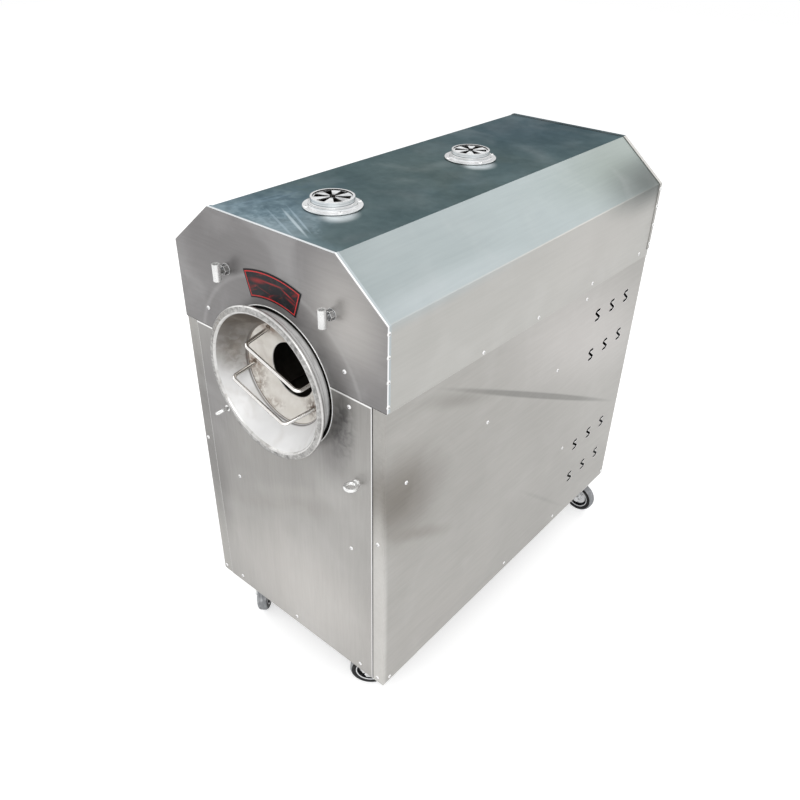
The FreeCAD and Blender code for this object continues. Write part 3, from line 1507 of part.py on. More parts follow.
tyre_half = d.tyre_width / 2
hub_half = tyre_half - d.hub_margin
disc_half = d.hub_disc / 2
rim_radius = d.wheel_radius - d.tyre_depth - d.fit_clearance
tyre_inner = d.wheel_radius - d.tyre_depth
tyre_profile = [(tyre_inner, -tyre_half)]
for depth, width in TREAD_SHARES:
    tyre_profile.append((d.wheel_radius - d.tyre_shoulder * depth, -tyre_half * width))
tyre_profile += [(radius, -width) for radius, width in reversed(tyre_profile)]
hub_profile = [
    (d.axle_radius + d.fit_clearance, -hub_half),
    (d.hub_core_radius, -hub_half),
    (d.hub_core_radius, -disc_half),
    (rim_radius - d.leg_gauge, -disc_half),
    (rim_radius - d.leg_gauge, -hub_half),
    (rim_radius, -hub_half),
    (rim_radius, hub_half),
    (rim_radius - d.leg_gauge, hub_half),
    (rim_radius - d.leg_gauge, disc_half),
    (d.hub_core_radius, disc_half),
    (d.hub_core_radius, hub_half),
    (d.axle_radius + d.fit_clearance, hub_half),
]
for corner, (x, y, turn) in CORNERS.items():
    alias = f"{corner}_angle"
    heading = getattr(d, alias)
    fork = caster_fork(corner.startswith("front"))
    place(fork, x, y, 0, Rotation(Vector(0, 0, 1), turn))
    keep(f"fork_{corner}", fork)
    wheel_x = x + d.caster_trail * cosine(heading)
    wheel_y = y + d.caster_trail * sine(heading)
    for name, profile in (("tyre", tyre_profile), ("hub", hub_profile)):
        wheel = turned("Y", (0, 0), 0, profile)
        place(wheel, wheel_x, wheel_y, d.wheel_radius, Rotation(turn, 0, -90))
        keep(f"{name}_{corner}", wheel)
    if corner.startswith("front"):
        lever = brake_lever()
        place(lever, x, y, 0, Rotation(Vector(0, 0, 1), turn))
        keep(f"brake_lever_{corner.split('_')[1]}", lever)

doc.recompute()
for item in doc.Objects:
    if "Invalid" in item.State or "Error" in item.State:
        raise RuntimeError(f"{item.Name} ({item.Label}) failed to build")
for label, item in nodes.items():
    if item.Shape.isNull() or not item.Shape.isValid() or not item.Shape.Solids:
        raise RuntimeError(f"{label} has no sound shape")

os.makedirs("parts", exist_ok=True)
for label, item in nodes.items():
    item.Shape.exportStep(os.path.join("parts", f"{label}.step"))
    print(f"{label}: {len(item.Shape.Solids)} solids, {item.Shape.Volume / 1000:.1f} cm3")
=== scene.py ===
"""Looks of a market chestnut roaster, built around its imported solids.

Metres, in the frame of the solids: +X to the right, -Y towards the front with the drum's mouth, +Z up.
"""

import json
import logging
import math
from dataclasses import dataclass
from enum import Enum
from typing import Callable, Iterable, Sequence

import bmesh
import bpy
from bmesh.types import BMEdge, BMesh, BMFace, BMVert
from bpy.types import Material, Node, NodeSocket, NodeTree
from mathutils import Euler, Matrix, Vector


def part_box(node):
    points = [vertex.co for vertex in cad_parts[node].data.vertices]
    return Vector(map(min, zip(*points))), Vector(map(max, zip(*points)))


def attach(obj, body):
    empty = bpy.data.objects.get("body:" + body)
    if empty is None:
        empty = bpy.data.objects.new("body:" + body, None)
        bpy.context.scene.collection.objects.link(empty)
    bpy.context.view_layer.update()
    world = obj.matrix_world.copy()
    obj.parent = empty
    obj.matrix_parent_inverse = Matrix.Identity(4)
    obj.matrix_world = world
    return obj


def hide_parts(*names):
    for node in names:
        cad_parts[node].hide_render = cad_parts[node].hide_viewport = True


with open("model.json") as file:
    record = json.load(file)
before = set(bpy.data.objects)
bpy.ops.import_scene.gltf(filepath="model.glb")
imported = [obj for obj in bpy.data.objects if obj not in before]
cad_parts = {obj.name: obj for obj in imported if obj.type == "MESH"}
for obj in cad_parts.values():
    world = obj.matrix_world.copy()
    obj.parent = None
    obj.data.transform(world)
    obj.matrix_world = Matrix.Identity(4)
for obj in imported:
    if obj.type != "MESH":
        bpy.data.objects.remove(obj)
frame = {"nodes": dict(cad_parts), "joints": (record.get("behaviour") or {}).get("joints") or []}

log = logging.getLogger("roaster")

Triple = tuple[float, float, float]
Colour = tuple[float, float, float, float]
Feed = NodeSocket | float | Triple | Colour
Pair = tuple[float, float]
Outline = Sequence[Pair]

MM = 0.001
MERGED = 1e-6
WHITE: Colour = (1.0, 1.0, 1.0, 1.0)
# The colour of the painted shade that darkens metal at its glancing edges, and the index of refraction
# that sets where it starts
SHADE: Colour = (0.03, 0.03, 0.03, 1.0)
GLANCE_IOR = 1.6
SMEAR_ROUGHNESS = 0.15
FLAT_ON_FRONT: Triple = (1.0, 0.0, 1.0)

# Angles in degrees: the most between faces that are joined, the least of an edge that stays sharp,
# and the least of one that is rounded on a turned part
JOINED_ANGLE = 0.5
SHARP_ANGLE = 36.0
TURNED_ANGLE = 50.0


def seen(red: float, green: float, blue: float) -> Colour:
    """Turns a colour as a screen shows it into the linear colour of the shaders.

    Args:
        red: Red, 0 to 255.
        green: Green, 0 to 255.
        blue: Blue, 0 to 255.

    Returns:
        The linear colour, opaque.
    """
    levels = [level / 255 for level in (red, green, blue)]
    linear = [v / 12.92 if v <= 0.04045 else ((v + 0.055) / 1.055) ** 2.4 for v in levels]
    return (linear[0], linear[1], linear[2], 1.0)


class Axis(Enum):
    """An axis of the machine, by its place in a vector."""

    X = 0
    Y = 1
    Z = 2

    def vector(self, length: float = 1.0) -> Vector:
        """Returns a vector of a length along the axis."""
        spot = Vector()
        spot[self.value] = length
        return spot


# Planes and axes of the machine
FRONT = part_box("hood_front_plate")[0].y
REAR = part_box("hood_rear_plate")[1].y
LOWER_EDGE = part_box("front_panel")[0].z
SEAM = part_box("front_panel")[1].z
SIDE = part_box("hood_front_plate")[1].x
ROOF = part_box("hood_front_plate")[1].z
PANEL_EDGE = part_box("front_panel")[1].x
DRUM_AXIS = 0.879
CHAMBER_AXIS = 0.853
CONE_FACE = FRONT + 0.02


# ---------------------------------------------------------------------------------------------------
# Shader nodes
# ---------------------------------------------------------------------------------------------------


class Nodes:
    """Adds nodes to one tree and joins them."""

    def __init__(self, tree: NodeTree) -> None:
        """Keeps the tree that the nodes go into."""
        self.tree = tree

    def add(self, kind: str, feeds: dict[str | int, Feed] | None = None, **settings: object) -> Node:
        """Adds a node.

        Args:
            kind: The node's type.
            feeds: What goes into its sockets, by their names or places: a socket or a plain value.
            settings: The node's own settings.

        Returns:
            The new node.
        """
        node = self.tree.nodes.new(kind)
        for name, value in settings.items():
            setattr(node, name, value)
        for key, value in (feeds or {}).items():
            if isinstance(value, NodeSocket):
                self.tree.links.new(value, node.inputs[key])
            else:
                node.inputs[key].default_value = value
        return node

    def math(self, operation: str, *values: Feed) -> NodeSocket:
        """Returns the result of a sum on one to three values."""
        return self.add("ShaderNodeMath", dict(enumerate(values)), operation=operation).outputs[0]

    def remap(
        self,
        value: Feed,
        low: Feed,
        high: Feed,
        start: float = 0.0,
        end: float = 1.0,
    ) -> NodeSocket:
        """Returns a value taken smoothly from one range to another, and held at its ends."""
        feeds = {"Value": value, "From Min": low, "From Max": high, "To Min": start, "To Max": end}
        return self.add("ShaderNodeMapRange", feeds, interpolation_type="SMOOTHSTEP").outputs["Result"]

    def mix(self, factor: Feed, first: Feed, second: Feed, blend: str = "MIX") -> NodeSocket:
        """Returns two colours mixed by a factor."""
        feeds = {0: factor, 6: first, 7: second}
        return self.add("ShaderNodeMix", feeds, data_type="RGBA", blend_type=blend).outputs[2]

    def placed(self, vector: Feed, centre: Triple, turn: Triple, reach: Triple) -> NodeSocket:
        """Returns a place measured from a centre, along turned axes, in shares of a reach."""
        feeds = {"Vector": vector, "Location": centre, "Rotation": turn, "Scale": reach}
        return self.add("ShaderNodeMapping", feeds, vector_type="TEXTURE").outputs["Vector"]

    def noise(self, vector: Feed, scale: Feed, detail: float = 2.0, warp: float = 0.0) -> NodeSocket:
        """Returns a cloudy noise from 0 to 1."""
        feeds = {"Vector": vector, "Scale": scale, "Detail": detail, "Distortion": warp}
        return self.add("ShaderNodeTexNoise", feeds).outputs["Fac"]

    def group(self, effect: "Effect", feeds: dict[str | int, Feed]) -> Node:
        """Adds one of the shared effects, with its own values."""
        return self.add("ShaderNodeGroup", feeds, node_tree=effect.tree())

    def bump(self, height: Feed, strength: float, depth: float) -> NodeSocket:
        """Returns the normals that a height gives."""
        feeds = {"Height": height, "Strength": strength, "Distance": depth}
        return self.add("ShaderNodeBump", feeds).outputs["Normal"]

    def wire(self, source: NodeSocket, target: Node, socket: str) -> None:
        """Joins a value to a node's socket."""
        self.tree.links.new(source, target.inputs[socket])


class Effect(Enum):
    """The shader node groups that several finishes share, each built once."""

    GRAIN = "rolled_grain"
    PATCH = "soft_patch"
    RING = "ring_band"
    SMEARS = "smears"
    CAST = "cast_skin"
    LEVEL = "past_level"

    def tree(self) -> NodeTree:
        """Returns the effect's node group, building it the first time."""
        made = bpy.data.node_groups.get(self.value)
        if made is None:
            made = bpy.data.node_groups.new(self.value, "ShaderNodeTree")
            BUILDERS[self](made)
        return made


def open_group(
    tree: NodeTree,
    takes: dict[str, float | None],
    gives: Iterable[str],
) -> tuple[Nodes, Node, Node]:
    """Gives a node group its sockets.

    Args:
        tree: The empty group.
        takes: Its inputs and their values at first, or None for a vector.
        gives: Its outputs, each a value.

    Returns:
        The group's nodes, its input node and its output node.
    """
    for name, value in takes.items():
        kind = "NodeSocketVector" if value is None else "NodeSocketFloat"
        socket = tree.interface.new_socket(name, in_out="INPUT", socket_type=kind)
        if value is not None:
            socket.default_value = value
    for name in gives:
        tree.interface.new_socket(name, in_out="OUTPUT", socket_type="NodeSocketFloat")
    nodes = Nodes(tree)
    return nodes, nodes.add("NodeGroupInput"), nodes.add("NodeGroupOutput")


def build_grain(tree: NodeTree) -> None:
    """Builds the grain of rolled sheet: fine lines and broader streaks on a stretched place."""
    takes = {"Vector": None, "Lines": 60.0, "Streaks": 9.0}
    nodes, take, give = open_group(tree, takes, ("Height", "Tone"))
    lines = nodes.noise(take.outputs["Vector"], take.outputs["Lines"], 3.0)
    tone = nodes.noise(take.outputs["Vector"], take.outputs["Streaks"], 4.0, 0.4)
    nodes.wire(lines, give, "Height")
    nodes.wire(nodes.remap(tone, 0.25, 0.75), give, "Tone")


def build_patch(tree: NodeTree) -> None:
    """Builds a soft patch: full inside an edge and gone at a reach of one."""
    nodes, take, give = open_group(tree, {"Vector": None, "Edge": 0.2}, ("Mask",))
    length = nodes.add("ShaderNodeVectorMath", {0: take.outputs["Vector"]}, operation="LENGTH")
    nodes.wire(nodes.remap(length.outputs["Value"], 1.0, take.outputs["Edge"]), give, "Mask")


def build_ring(tree: NodeTree) -> None:
    """Builds a soft ring of a radius and a half width about a place."""
    nodes, take, give = open_group(tree, {"Vector": None, "Radius": 0.1, "Width": 0.01}, ("Mask",))
    length = nodes.add("ShaderNodeVectorMath", {0: take.outputs["Vector"]}, operation="LENGTH")
    over = nodes.math("SUBTRACT", length.outputs["Value"], take.outputs["Radius"])
    share = nodes.math("DIVIDE", nodes.math("ABSOLUTE", over), take.outputs["Width"])
    nodes.wire(nodes.remap(share, 1.0, 0.0), give, "Mask")


def build_smears(tree: NodeTree) -> None:
    """Builds cloudy smears that show between two levels of a noise."""
    takes = {"Vector": None, "Scale": 8.0, "Low": 0.5, "High": 0.7}
    nodes, take, give = open_group(tree, takes, ("Mask",))
    cloud = nodes.noise(take.outputs["Vector"], take.outputs["Scale"], 5.0, 0.6)
    nodes.wire(nodes.remap(cloud, take.outputs["Low"], take.outputs["High"]), give, "Mask")


def build_cast(tree: NodeTree) -> None:
    """Builds the skin of a sand casting: rough grit and scattered pits."""
    nodes, take, give = open_group(tree, {"Vector": None, "Scale": 400.0}, ("Height", "Pits"))
    grit = nodes.noise(take.outputs["Vector"], take.outputs["Scale"], 6.0)
    feeds = {"Vector": take.outputs["Vector"], "Scale": take.outputs["Scale"]}
    cells = nodes.add("ShaderNodeTexVoronoi", feeds)
    pits = nodes.remap(cells.outputs["Distance"], 0.35, 0.05)
    nodes.wire(nodes.math("MULTIPLY_ADD", pits, -0.5, grit), give, "Height")
    nodes.wire(pits, give, "Pits")


def build_level(tree: NodeTree) -> None:
    """Builds a mask of what lies past a level."""
    nodes, take, give = open_group(tree, {"Value": 0.0, "Level": 1.0, "Blend": 0.002}, ("Mask",))
    over = nodes.math("SUBTRACT", take.outputs["Value"], take.outputs["Level"])
    share = nodes.math("DIVIDE", over, take.outputs["Blend"])
    nodes.wire(nodes.remap(share, -1.0, 1.0), give, "Mask")


BUILDERS: dict[Effect, Callable[[NodeTree], None]] = {
    Effect.GRAIN: build_grain,
    Effect.PATCH: build_patch,
    Effect.RING: build_ring,
    Effect.SMEARS: build_smears,
    Effect.CAST: build_cast,
    Effect.LEVEL: build_level,
}


# ---------------------------------------------------------------------------------------------------
# Finishes
# ---------------------------------------------------------------------------------------------------


@dataclass(frozen=True)
class Patch:
    """A soft patch of another tone: a painted reflection, highlight or shade on a sheet, or a stain."""

    centre: Triple
    reach: Triple
    tint: Colour
    amount: float = 1.0
    turn: float = 0.0
    about: Axis = Axis.X
    edge: float = 0.0
    broken: float = 0.0

    def laid(self, nodes: Nodes, place: NodeSocket, under: Feed) -> NodeSocket:
        """Lays the patch over a colour.

        Args:
            nodes: The material's nodes.
            place: The place on the machine.
            under: The colour below.

        Returns:
            The colour with the patch on it, broken up by a noise of its own scale where it has one.
        """
        turns = self.about.vector(math.radians(self.turn))
        spot = nodes.placed(place, self.centre, tuple(turns), self.reach)
        mask = nodes.group(Effect.PATCH, {"Vector": spot, "Edge": self.edge}).outputs["Mask"]
        if self.broken:
            feeds = {"Vector": place, "Scale": self.broken, "Low": 0.35, "High": 0.62}
            smears = nodes.group(Effect.SMEARS, feeds)
            mask = nodes.math("MULTIPLY", mask, smears.outputs["Mask"])
        return nodes.mix(nodes.math("MULTIPLY", mask, self.amount), under, self.tint)


@dataclass(frozen=True)
class Plate:
    """A flat face of the machine that patches lie on."""

    origin: Triple
    across: Axis
    along: Axis
    depth: float

    def patch(
        self,
        place: Pair,
        reach: Pair,
        tint: Colour,
        amount: float = 1.0,
        turn: float = 0.0,
        edge: float = 0.0,
        broken: float = 0.0,
    ) -> Patch:
        """Returns a patch on the plate.

        Args:
            place: Its middle, in millimetres along the plate's two directions.
            reach: How far it goes along them, in metres.
            tint: Its colour.
            amount: How much of its colour shows, 0 to 1.
            turn: How far it is turned on the plate, in degrees.
            edge: Where its full part ends, as a share of its reach.
            broken: The scale of the noise that breaks it up, or 0 for none.

        Returns:
            The patch.
        """
        centre, span = list(self.origin), [self.depth] * len(Axis)
        for axis, step, size in zip((self.across, self.along), place, reach):
            centre[axis.value] += step * MM
            span[axis.value] = size
        out = next(axis for axis in Axis if axis not in (self.across, self.along))
        return Patch(tuple(centre), tuple(span), tint, amount, turn, out, edge, broken)


FRONT_PLATE = Plate((0.0, FRONT, LOWER_EDGE), Axis.X, Axis.Z, depth=0.05)
SIDE_PLATE = Plate((SIDE, FRONT, LOWER_EDGE), Axis.Y, Axis.Z, depth=0.6)
ROOF_PLATE = Plate((0.0, FRONT, ROOF), Axis.X, Axis.Y, depth=0.012)
CONE_PLATE = Plate((0.0, CONE_FACE, DRUM_AXIS), Axis.X, Axis.Z, depth=0.05)
BADGE_PLATE = Plate((0.0, FRONT, 1.08), Axis.X, Axis.Z, depth=0.01)


@dataclass(frozen=True)
class Ring:
    """A soft round mark about an axis along Y."""

    centre: Triple
    radius: float
    width: float
    tint: Colour
    amount: float = 0.4

    def laid(self, nodes: Nodes, place: NodeSocket, under: Feed) -> NodeSocket:
        """Lays the ring over a colour and returns the result."""
        away = tuple(-middle for middle in self.centre)
        spot = nodes.add("ShaderNodeMapping", {"Vector": place, "Location": away}).outputs["Vector"]
        flat = nodes.add("ShaderNodeVectorMath", {0: spot, 1: FLAT_ON_FRONT}, operation="MULTIPLY")
        feeds = {"Vector": flat.outputs["Vector"], "Radius": self.radius, "Width": self.width}
        mask = nodes.group(Effect.RING, feeds).outputs["Mask"]
        return nodes.mix(nodes.math("MULTIPLY", mask, self.amount), under, self.tint)


@dataclass(frozen=True)
class Zone:
    """Another tone past a level along an axis, up to a second level where it has one."""

    level: float
    tint: Colour
    until: float | None = None
    axis: Axis = Axis.Z
    blend: float = 0.8 * MM
    amount: float = 1.0

    def laid(self, nodes: Nodes, place: NodeSocket, under: Feed) -> NodeSocket:
        """Lays the zone over a colour and returns the result."""
        value = nodes.add("ShaderNodeSeparateXYZ", {0: place}).outputs[self.axis.value]
        feeds = {"Value": value, "Blend": self.blend}
        mask = nodes.group(Effect.LEVEL, feeds | {"Level": self.level}).outputs["Mask"]
        if self.until is not None:
            after = nodes.group(Effect.LEVEL, feeds | {"Level": self.until}).outputs["Mask"]
            mask = nodes.math("SUBTRACT", mask, after)
        return nodes.mix(nodes.math("MULTIPLY", mask, self.amount), under, self.tint)


@dataclass(frozen=True)
class Finish:
    """What every finish has: a name, a colour and how it takes the light."""

    name: str
    tint: Colour
    metallic: float = 0.0
    roughness: float = 0.5
    gleam: Colour = WHITE
    marks: tuple[Patch | Ring | Zone, ...] = ()

    def title(self) -> str:
        """Returns the name of the finish's material, unlike any name that the solids bring."""
        return f"{self.name}_finish"

    def made(self) -> Material:
        """Returns the finish's material, making it the first time."""
        return bpy.data.materials.get(self.title()) or self.material()

    def start(self) -> tuple[Material, Nodes, Node, NodeSocket]:
        """Makes the empty material.

        Returns:
            The material, its nodes, its surface shader and the place on the machine.
        """
        material = bpy.data.materials.new(self.title())
        material.use_nodes = True
        nodes = Nodes(material.node_tree)
        surface = material.node_tree.nodes["Principled BSDF"]
        surface.inputs["Metallic"].default_value = self.metallic
        surface.inputs["Roughness"].default_value = self.roughness
        surface.inputs["Specular Tint"].default_value = self.gleam
        return material, nodes, surface, nodes.add("ShaderNodeTexCoord").outputs["Object"]

    def marked(self, nodes: Nodes, place: NodeSocket) -> Feed:
        """Returns the finish's colour with its marks laid over each other."""
        colour: Feed = self.tint
        for mark in self.marks:
            colour = mark.laid(nodes, place, colour)
        return colour

    def material(self) -> Material:
        """Returns the finished material."""
        raise NotImplementedError


@dataclass(frozen=True)
class RolledSheet(Finish):
    """Stainless sheet with a faint rolled grain, painted soft reflections laid on as patches, and a few
    smears.
    """

    metallic: float = 0.6
    roughness: float = 0.36
    grain: Triple = (1.0, 0.06, 1.0)
    streaks: float = 0.07
    smear: float = 0.06
    wave: float = 0.05

    def material(self) -> Material:
        """Returns the sheet's material."""
        material, nodes, surface, place = self.start()
        feeds = {"Vector": place, "Scale": self.grain}
        stretched = nodes.add("ShaderNodeMapping", feeds).outputs["Vector"]
        grain = nodes.group(Effect.GRAIN, {"Vector": stretched, "Lines": 900.0, "Streaks": 26.0})
        fine = nodes.group(Effect.GRAIN, {"Vector": stretched, "Lines": 300.0, "Streaks": 170.0})
        smears = nodes.group(Effect.SMEARS, {"Vector": place, "Scale": 7.0, "Low": 0.45, "High": 0.75})
        cloud = nodes.remap(nodes.noise(place, 2.6, 3.0, 0.3), 0.3, 0.7)
        colour = self.marked(nodes, place)
        colour = nodes.mix(self.streaks, colour, grain.outputs["Tone"], "SOFT_LIGHT")
        colour = nodes.mix(self.streaks * 0.8, colour, fine.outputs["Tone"], "SOFT_LIGHT")
        colour = nodes.mix(0.08, colour, cloud, "SOFT_LIGHT")
        colour = nodes.mix(nodes.math("MULTIPLY", smears.outputs["Mask"], self.smear), colour, WHITE)
        nodes.wire(colour, surface, "Base Color")
        low, high = self.roughness - 0.03, self.roughness + 0.04
        rough = nodes.remap(grain.outputs["Tone"], 0.0, 1.0, low, high)
        rough = nodes.math("MULTIPLY_ADD", smears.outputs["Mask"], 0.06, rough)
        nodes.wire(rough, surface, "Roughness")
        ripple = nodes.bump(nodes.noise(place, 5.0, 2.0), self.wave, 0.01)
        feeds = {"Height": grain.outputs["Height"], "Strength": 0.03, "Distance": 0.0002}
        bumps = nodes.add("ShaderNodeBump", feeds | {"Normal": ripple})
        nodes.wire(bumps.outputs["Normal"], surface, "Normal")
        return material


@dataclass(frozen=True)
class Machined(Finish):
    """Turned, drawn or plated metal: fine lines, a mottled skin, darker stains and painted shade at
    glancing edges.
    """

    metallic: float = 0.8
    roughness: float = 0.28
    stain: Colour = (0.2, 0.18, 0.16, 1.0)
    stained: float = 0.2
    mottle: float = 0.2
    scale: float = 60.0
    relief: float = 0.08
    pitted: float = 0.0
    # How much painted shade darkens the metal where it turns away from view, giving dark outlines
    outline: float = 0.0

    def material(self) -> Material:
        """Returns the metal's material, with painted shade where it turns away from view."""
        material, nodes, surface, place = self.start()
        skin = nodes.group(Effect.CAST, {"Vector": place, "Scale": self.scale * 8})
        feeds = {"Vector": place, "Scale": self.scale, "Low": 0.48, "High": 0.72}
        smears = nodes.group(Effect.SMEARS, feeds)
        cloud = nodes.remap(nodes.noise(place, self.scale * 2, 4.0), 0.3, 0.7)
        colour = nodes.mix(self.mottle, self.marked(nodes, place), cloud, "SOFT_LIGHT")
        stain = nodes.math("MULTIPLY", smears.outputs["Mask"], self.stained)
        pits = nodes.math("MULTIPLY", skin.outputs["Pits"], self.pitted)
        colour = nodes.mix(nodes.math("MAXIMUM", stain, pits), colour, self.stain)
        # Painted shade: darkens the colour towards the glancing edges, where the surface turns away from
        # view
        if self.outline:
            glance = nodes.add("ShaderNodeFresnel", {"IOR": GLANCE_IOR}).outputs[0]
            away = nodes.remap(glance, 0.06, 0.4)
            colour = nodes.mix(nodes.math("MULTIPLY", away, self.outline), colour, SHADE)
        nodes.wire(colour, surface, "Base Color")
        rough = nodes.math("MULTIPLY_ADD", smears.outputs["Mask"], SMEAR_ROUGHNESS, self.roughness)
        nodes.wire(rough, surface, "Roughness")
        nodes.wire(nodes.bump(skin.outputs["Height"], self.relief, 0.0004), surface, "Normal")
        return material


@dataclass(frozen=True)
class Moulded(Finish):
    """Moulded plastic or rubber: a fine spark texture, scuffs and a little dust."""

    roughness: float = 0.5
    dust: Colour = (0.5, 0.5, 0.48, 1.0)
    dusty: float = 0.06
    scale: float = 900.0
    relief: float = 0.15
    coat: float = 0.0

    def printed(self, nodes: Nodes, place: NodeSocket) -> Feed:
        """Returns the colour below the dust."""
        return self.marked(nodes, place)

    def material(self) -> Material:
        """Returns the plastic's or rubber's material."""
        material, nodes, surface, place = self.start()
        surface.inputs["Coat Weight"].default_value = self.coat
        spark = nodes.group(Effect.CAST, {"Vector": place, "Scale": self.scale})
        smears = nodes.group(Effect.SMEARS, {"Vector": place, "Scale": 45.0, "Low": 0.5, "High": 0.8})
        dust = nodes.math("MULTIPLY", smears.outputs["Mask"], self.dusty)
        nodes.wire(nodes.mix(dust, self.printed(nodes, place), self.dust), surface, "Base Color")
        rough = nodes.math("MULTIPLY_ADD", smears.outputs["Mask"], SMEAR_ROUGHNESS, self.roughness)
        nodes.wire(rough, surface, "Roughness")
        nodes.wire(nodes.bump(spark.outputs["Height"], self.relief, 0.0002), surface, "Normal")
        return material


@dataclass(frozen=True)
class Swirled(Moulded):
    """A printed plate with soft bands of another colour that drift across it."""

    band: Colour = WHITE
    glow: Colour = WHITE
    turn: float = -24.0

    def printed(self, nodes: Nodes, place: NodeSocket) -> Feed:
        """Returns the plate's colour with the bands on it."""
        turns = (0.0, math.radians(self.turn), 0.0)
        spot = nodes.placed(place, (0.0, FRONT, 1.07), turns, (0.055, 1.0, 0.011))
        broad = nodes.remap(nodes.noise(spot, 0.9, 2.0, 0.9), 0.52, 0.7)
        thin = nodes.remap(nodes.noise(spot, 2.2, 3.0, 0.7), 0.6, 0.74)
        colour = nodes.mix(nodes.math("MULTIPLY", broad, 0.75), self.marked(nodes, place), self.band)
        both = nodes.math("MULTIPLY", thin, broad)
        return nodes.mix(nodes.math("MULTIPLY", both, 0.8), colour, self.glow)


# Finishes of the sheets
# The hood's sides and chamfers: the patches and the zone are painted reflections, lighter along the
# side, bluish past the chamfer's bend, lighter at its front and darker towards its rear
HOOD_STEEL = RolledSheet(
    name="hood_steel",
    tint=seen(178, 177, 173),
    grain=(1.0, 0.05, 1.0),
    streaks=0.05,
    marks=(
        Patch((SIDE, FRONT + 0.82, LOWER_EDGE + 0.9), (0.05, 0.4, 0.2), seen(184, 182, 178), 0.8),
        Zone(1.1045, seen(150, 159, 160)),
        Patch((0.29, FRONT + 0.1, 1.112), (0.1, 0.5, 0.036), seen(170, 178, 180), 0.8),
        Patch((0.2, FRONT + 0.75, 1.18), (0.2, 0.5, 0.08), seen(148, 158, 158), 0.7),
        Patch((0.22, FRONT + 0.98, 1.165), (0.2, 0.42, 0.13), seen(118, 128, 122), 0.9),
        Patch((0.29, FRONT + 1.08, 1.12), (0.14, 0.34, 0.1), seen(58, 67, 64), 1.0),
        Patch((0.18, FRONT + 1.06, 1.19), (0.2, 0.3, 0.05), seen(132, 141, 137), 0.9),
    ),
)
# The roof: its dark bluish tint is a painted reflection, its patches are painted reflections and glints,
# bright beside the vents, and its zone is a painted highlight along the front edge
ROOF_STEEL = RolledSheet(
    name="roof_steel",
    tint=seen(98, 113, 115),
    metallic=0.85,
    roughness=0.42,
    gleam=(0.3, 0.36, 0.38, 1.0),
    grain=(0.3, 0.3, 1.0),
    streaks=0.14,
    smear=0.06,
    marks=(
        ROOF_PLATE.patch((60, 600), (0.3, 0.5), seen(100, 110, 106), 0.7, broken=5.0),
        ROOF_PLATE.patch((0, 990), (0.3, 0.44), seen(76, 91, 98), 0.9),
        ROOF_PLATE.patch((-110, 960), (0.16, 0.4), seen(72, 88, 96), 0.7),
        ROOF_PLATE.patch((-90, 40), (0.2, 0.2), seen(134, 152, 162), 0.85, -12),
        ROOF_PLATE.patch((-80, 40), (0.2, 0.19), seen(164, 184, 194), 0.95, -12, broken=22.0),
        ROOF_PLATE.patch((-40, 60), (0.17, 0.12), seen(146, 166, 176), 0.8, -20, broken=40.0),
        ROOF_PLATE.patch((0, 16), (0.3, 0.03), seen(150, 168, 176), 0.6),
        ROOF_PLATE.patch((-110, 150), (0.11, 0.24), seen(94, 111, 121), 0.85, -12, broken=34.0),
        ROOF_PLATE.patch((-60, 60), (0.2, 0.12), seen(104, 122, 132), 0.7, -20, broken=90.0),
        ROOF_PLATE.patch((12, 60), (0.1, 0.0045), seen(200, 214, 220), 0.85, -26, edge=0.4),
        ROOF_PLATE.patch((6, 77), (0.1, 0.0035), seen(176, 194, 204), 0.7, -27, edge=0.4),
        ROOF_PLATE.patch((-2, 38), (0.11, 0.0035), seen(170, 188, 198), 0.6, -24, edge=0.4),
        ROOF_PLATE.patch((-30, 24), (0.1, 0.005), seen(150, 170, 180), 0.6, -22),
        ROOF_PLATE.patch((-120, 110), (0.008, 0.12), seen(138, 158, 172), 0.5, -6),
        ROOF_PLATE.patch((-140, 80), (0.006, 0.11), seen(146, 166, 180), 0.5, -9),
        ROOF_PLATE.patch((70, 60), (0.014, 0.06), seen(160, 176, 184), 0.6, 60, broken=60.0),
        ROOF_PLATE.patch((46, 146), (0.048, 0.052), seen(232, 238, 240), 0.9, 20, edge=0.4),
        ROOF_PLATE.patch((20, 100), (0.05, 0.02), seen(176, 190, 196), 0.5, -20, broken=40.0),
        ROOF_PLATE.patch((46, 612), (0.048, 0.052), seen(232, 238, 240), 0.9, 20, edge=0.4),
        ROOF_PLATE.patch((110, 470), (0.012, 0.05), seen(112, 126, 130), 0.5, -36),
        Zone(-1.0, seen(244, 246, 248), FRONT + 0.006, Axis.Y),
    ),
)
# The hood's front plate: its patches are painted reflections, with painted shade right of the mouth; its
# zones are painted shade in the seam below it, a painted reflection on the flanges bent back and a
# painted highlight along the front bend
HOOD_FACE = RolledSheet(
    name="hood_face",
    tint=seen(126, 124, 124),
    grain=(0.06, 1.0, 1.0),
    streaks=0.06,
    smear=0.1,
    marks=(
        FRONT_PLATE.patch((-190, 1010), (0.16, 0.1), seen(118, 116, 116), 0.8),
        FRONT_PLATE.patch((205, 950), (0.15, 0.18), seen(176, 173, 170), 0.95),
        FRONT_PLATE.patch((-60, 830), (0.5, 0.07), seen(116, 114, 114), 0.5),
        Ring((0.0, 0.0, CHAMBER_AXIS), 0.246, 0.009, seen(206, 205, 204), 0.14),
        FRONT_PLATE.patch((150, 795), (0.035, 0.09), seen(88, 87, 87), 0.9, -15, broken=26.0),
        Zone(SEAM - 0.002, seen(70, 68, 68), SEAM + 0.0022),
        Zone(FRONT + 0.006, seen(176, 184, 187), axis=Axis.Y),
        Zone(FRONT + 0.0022, seen(246, 247, 248), FRONT + 0.006, Axis.Y),
    ),
)
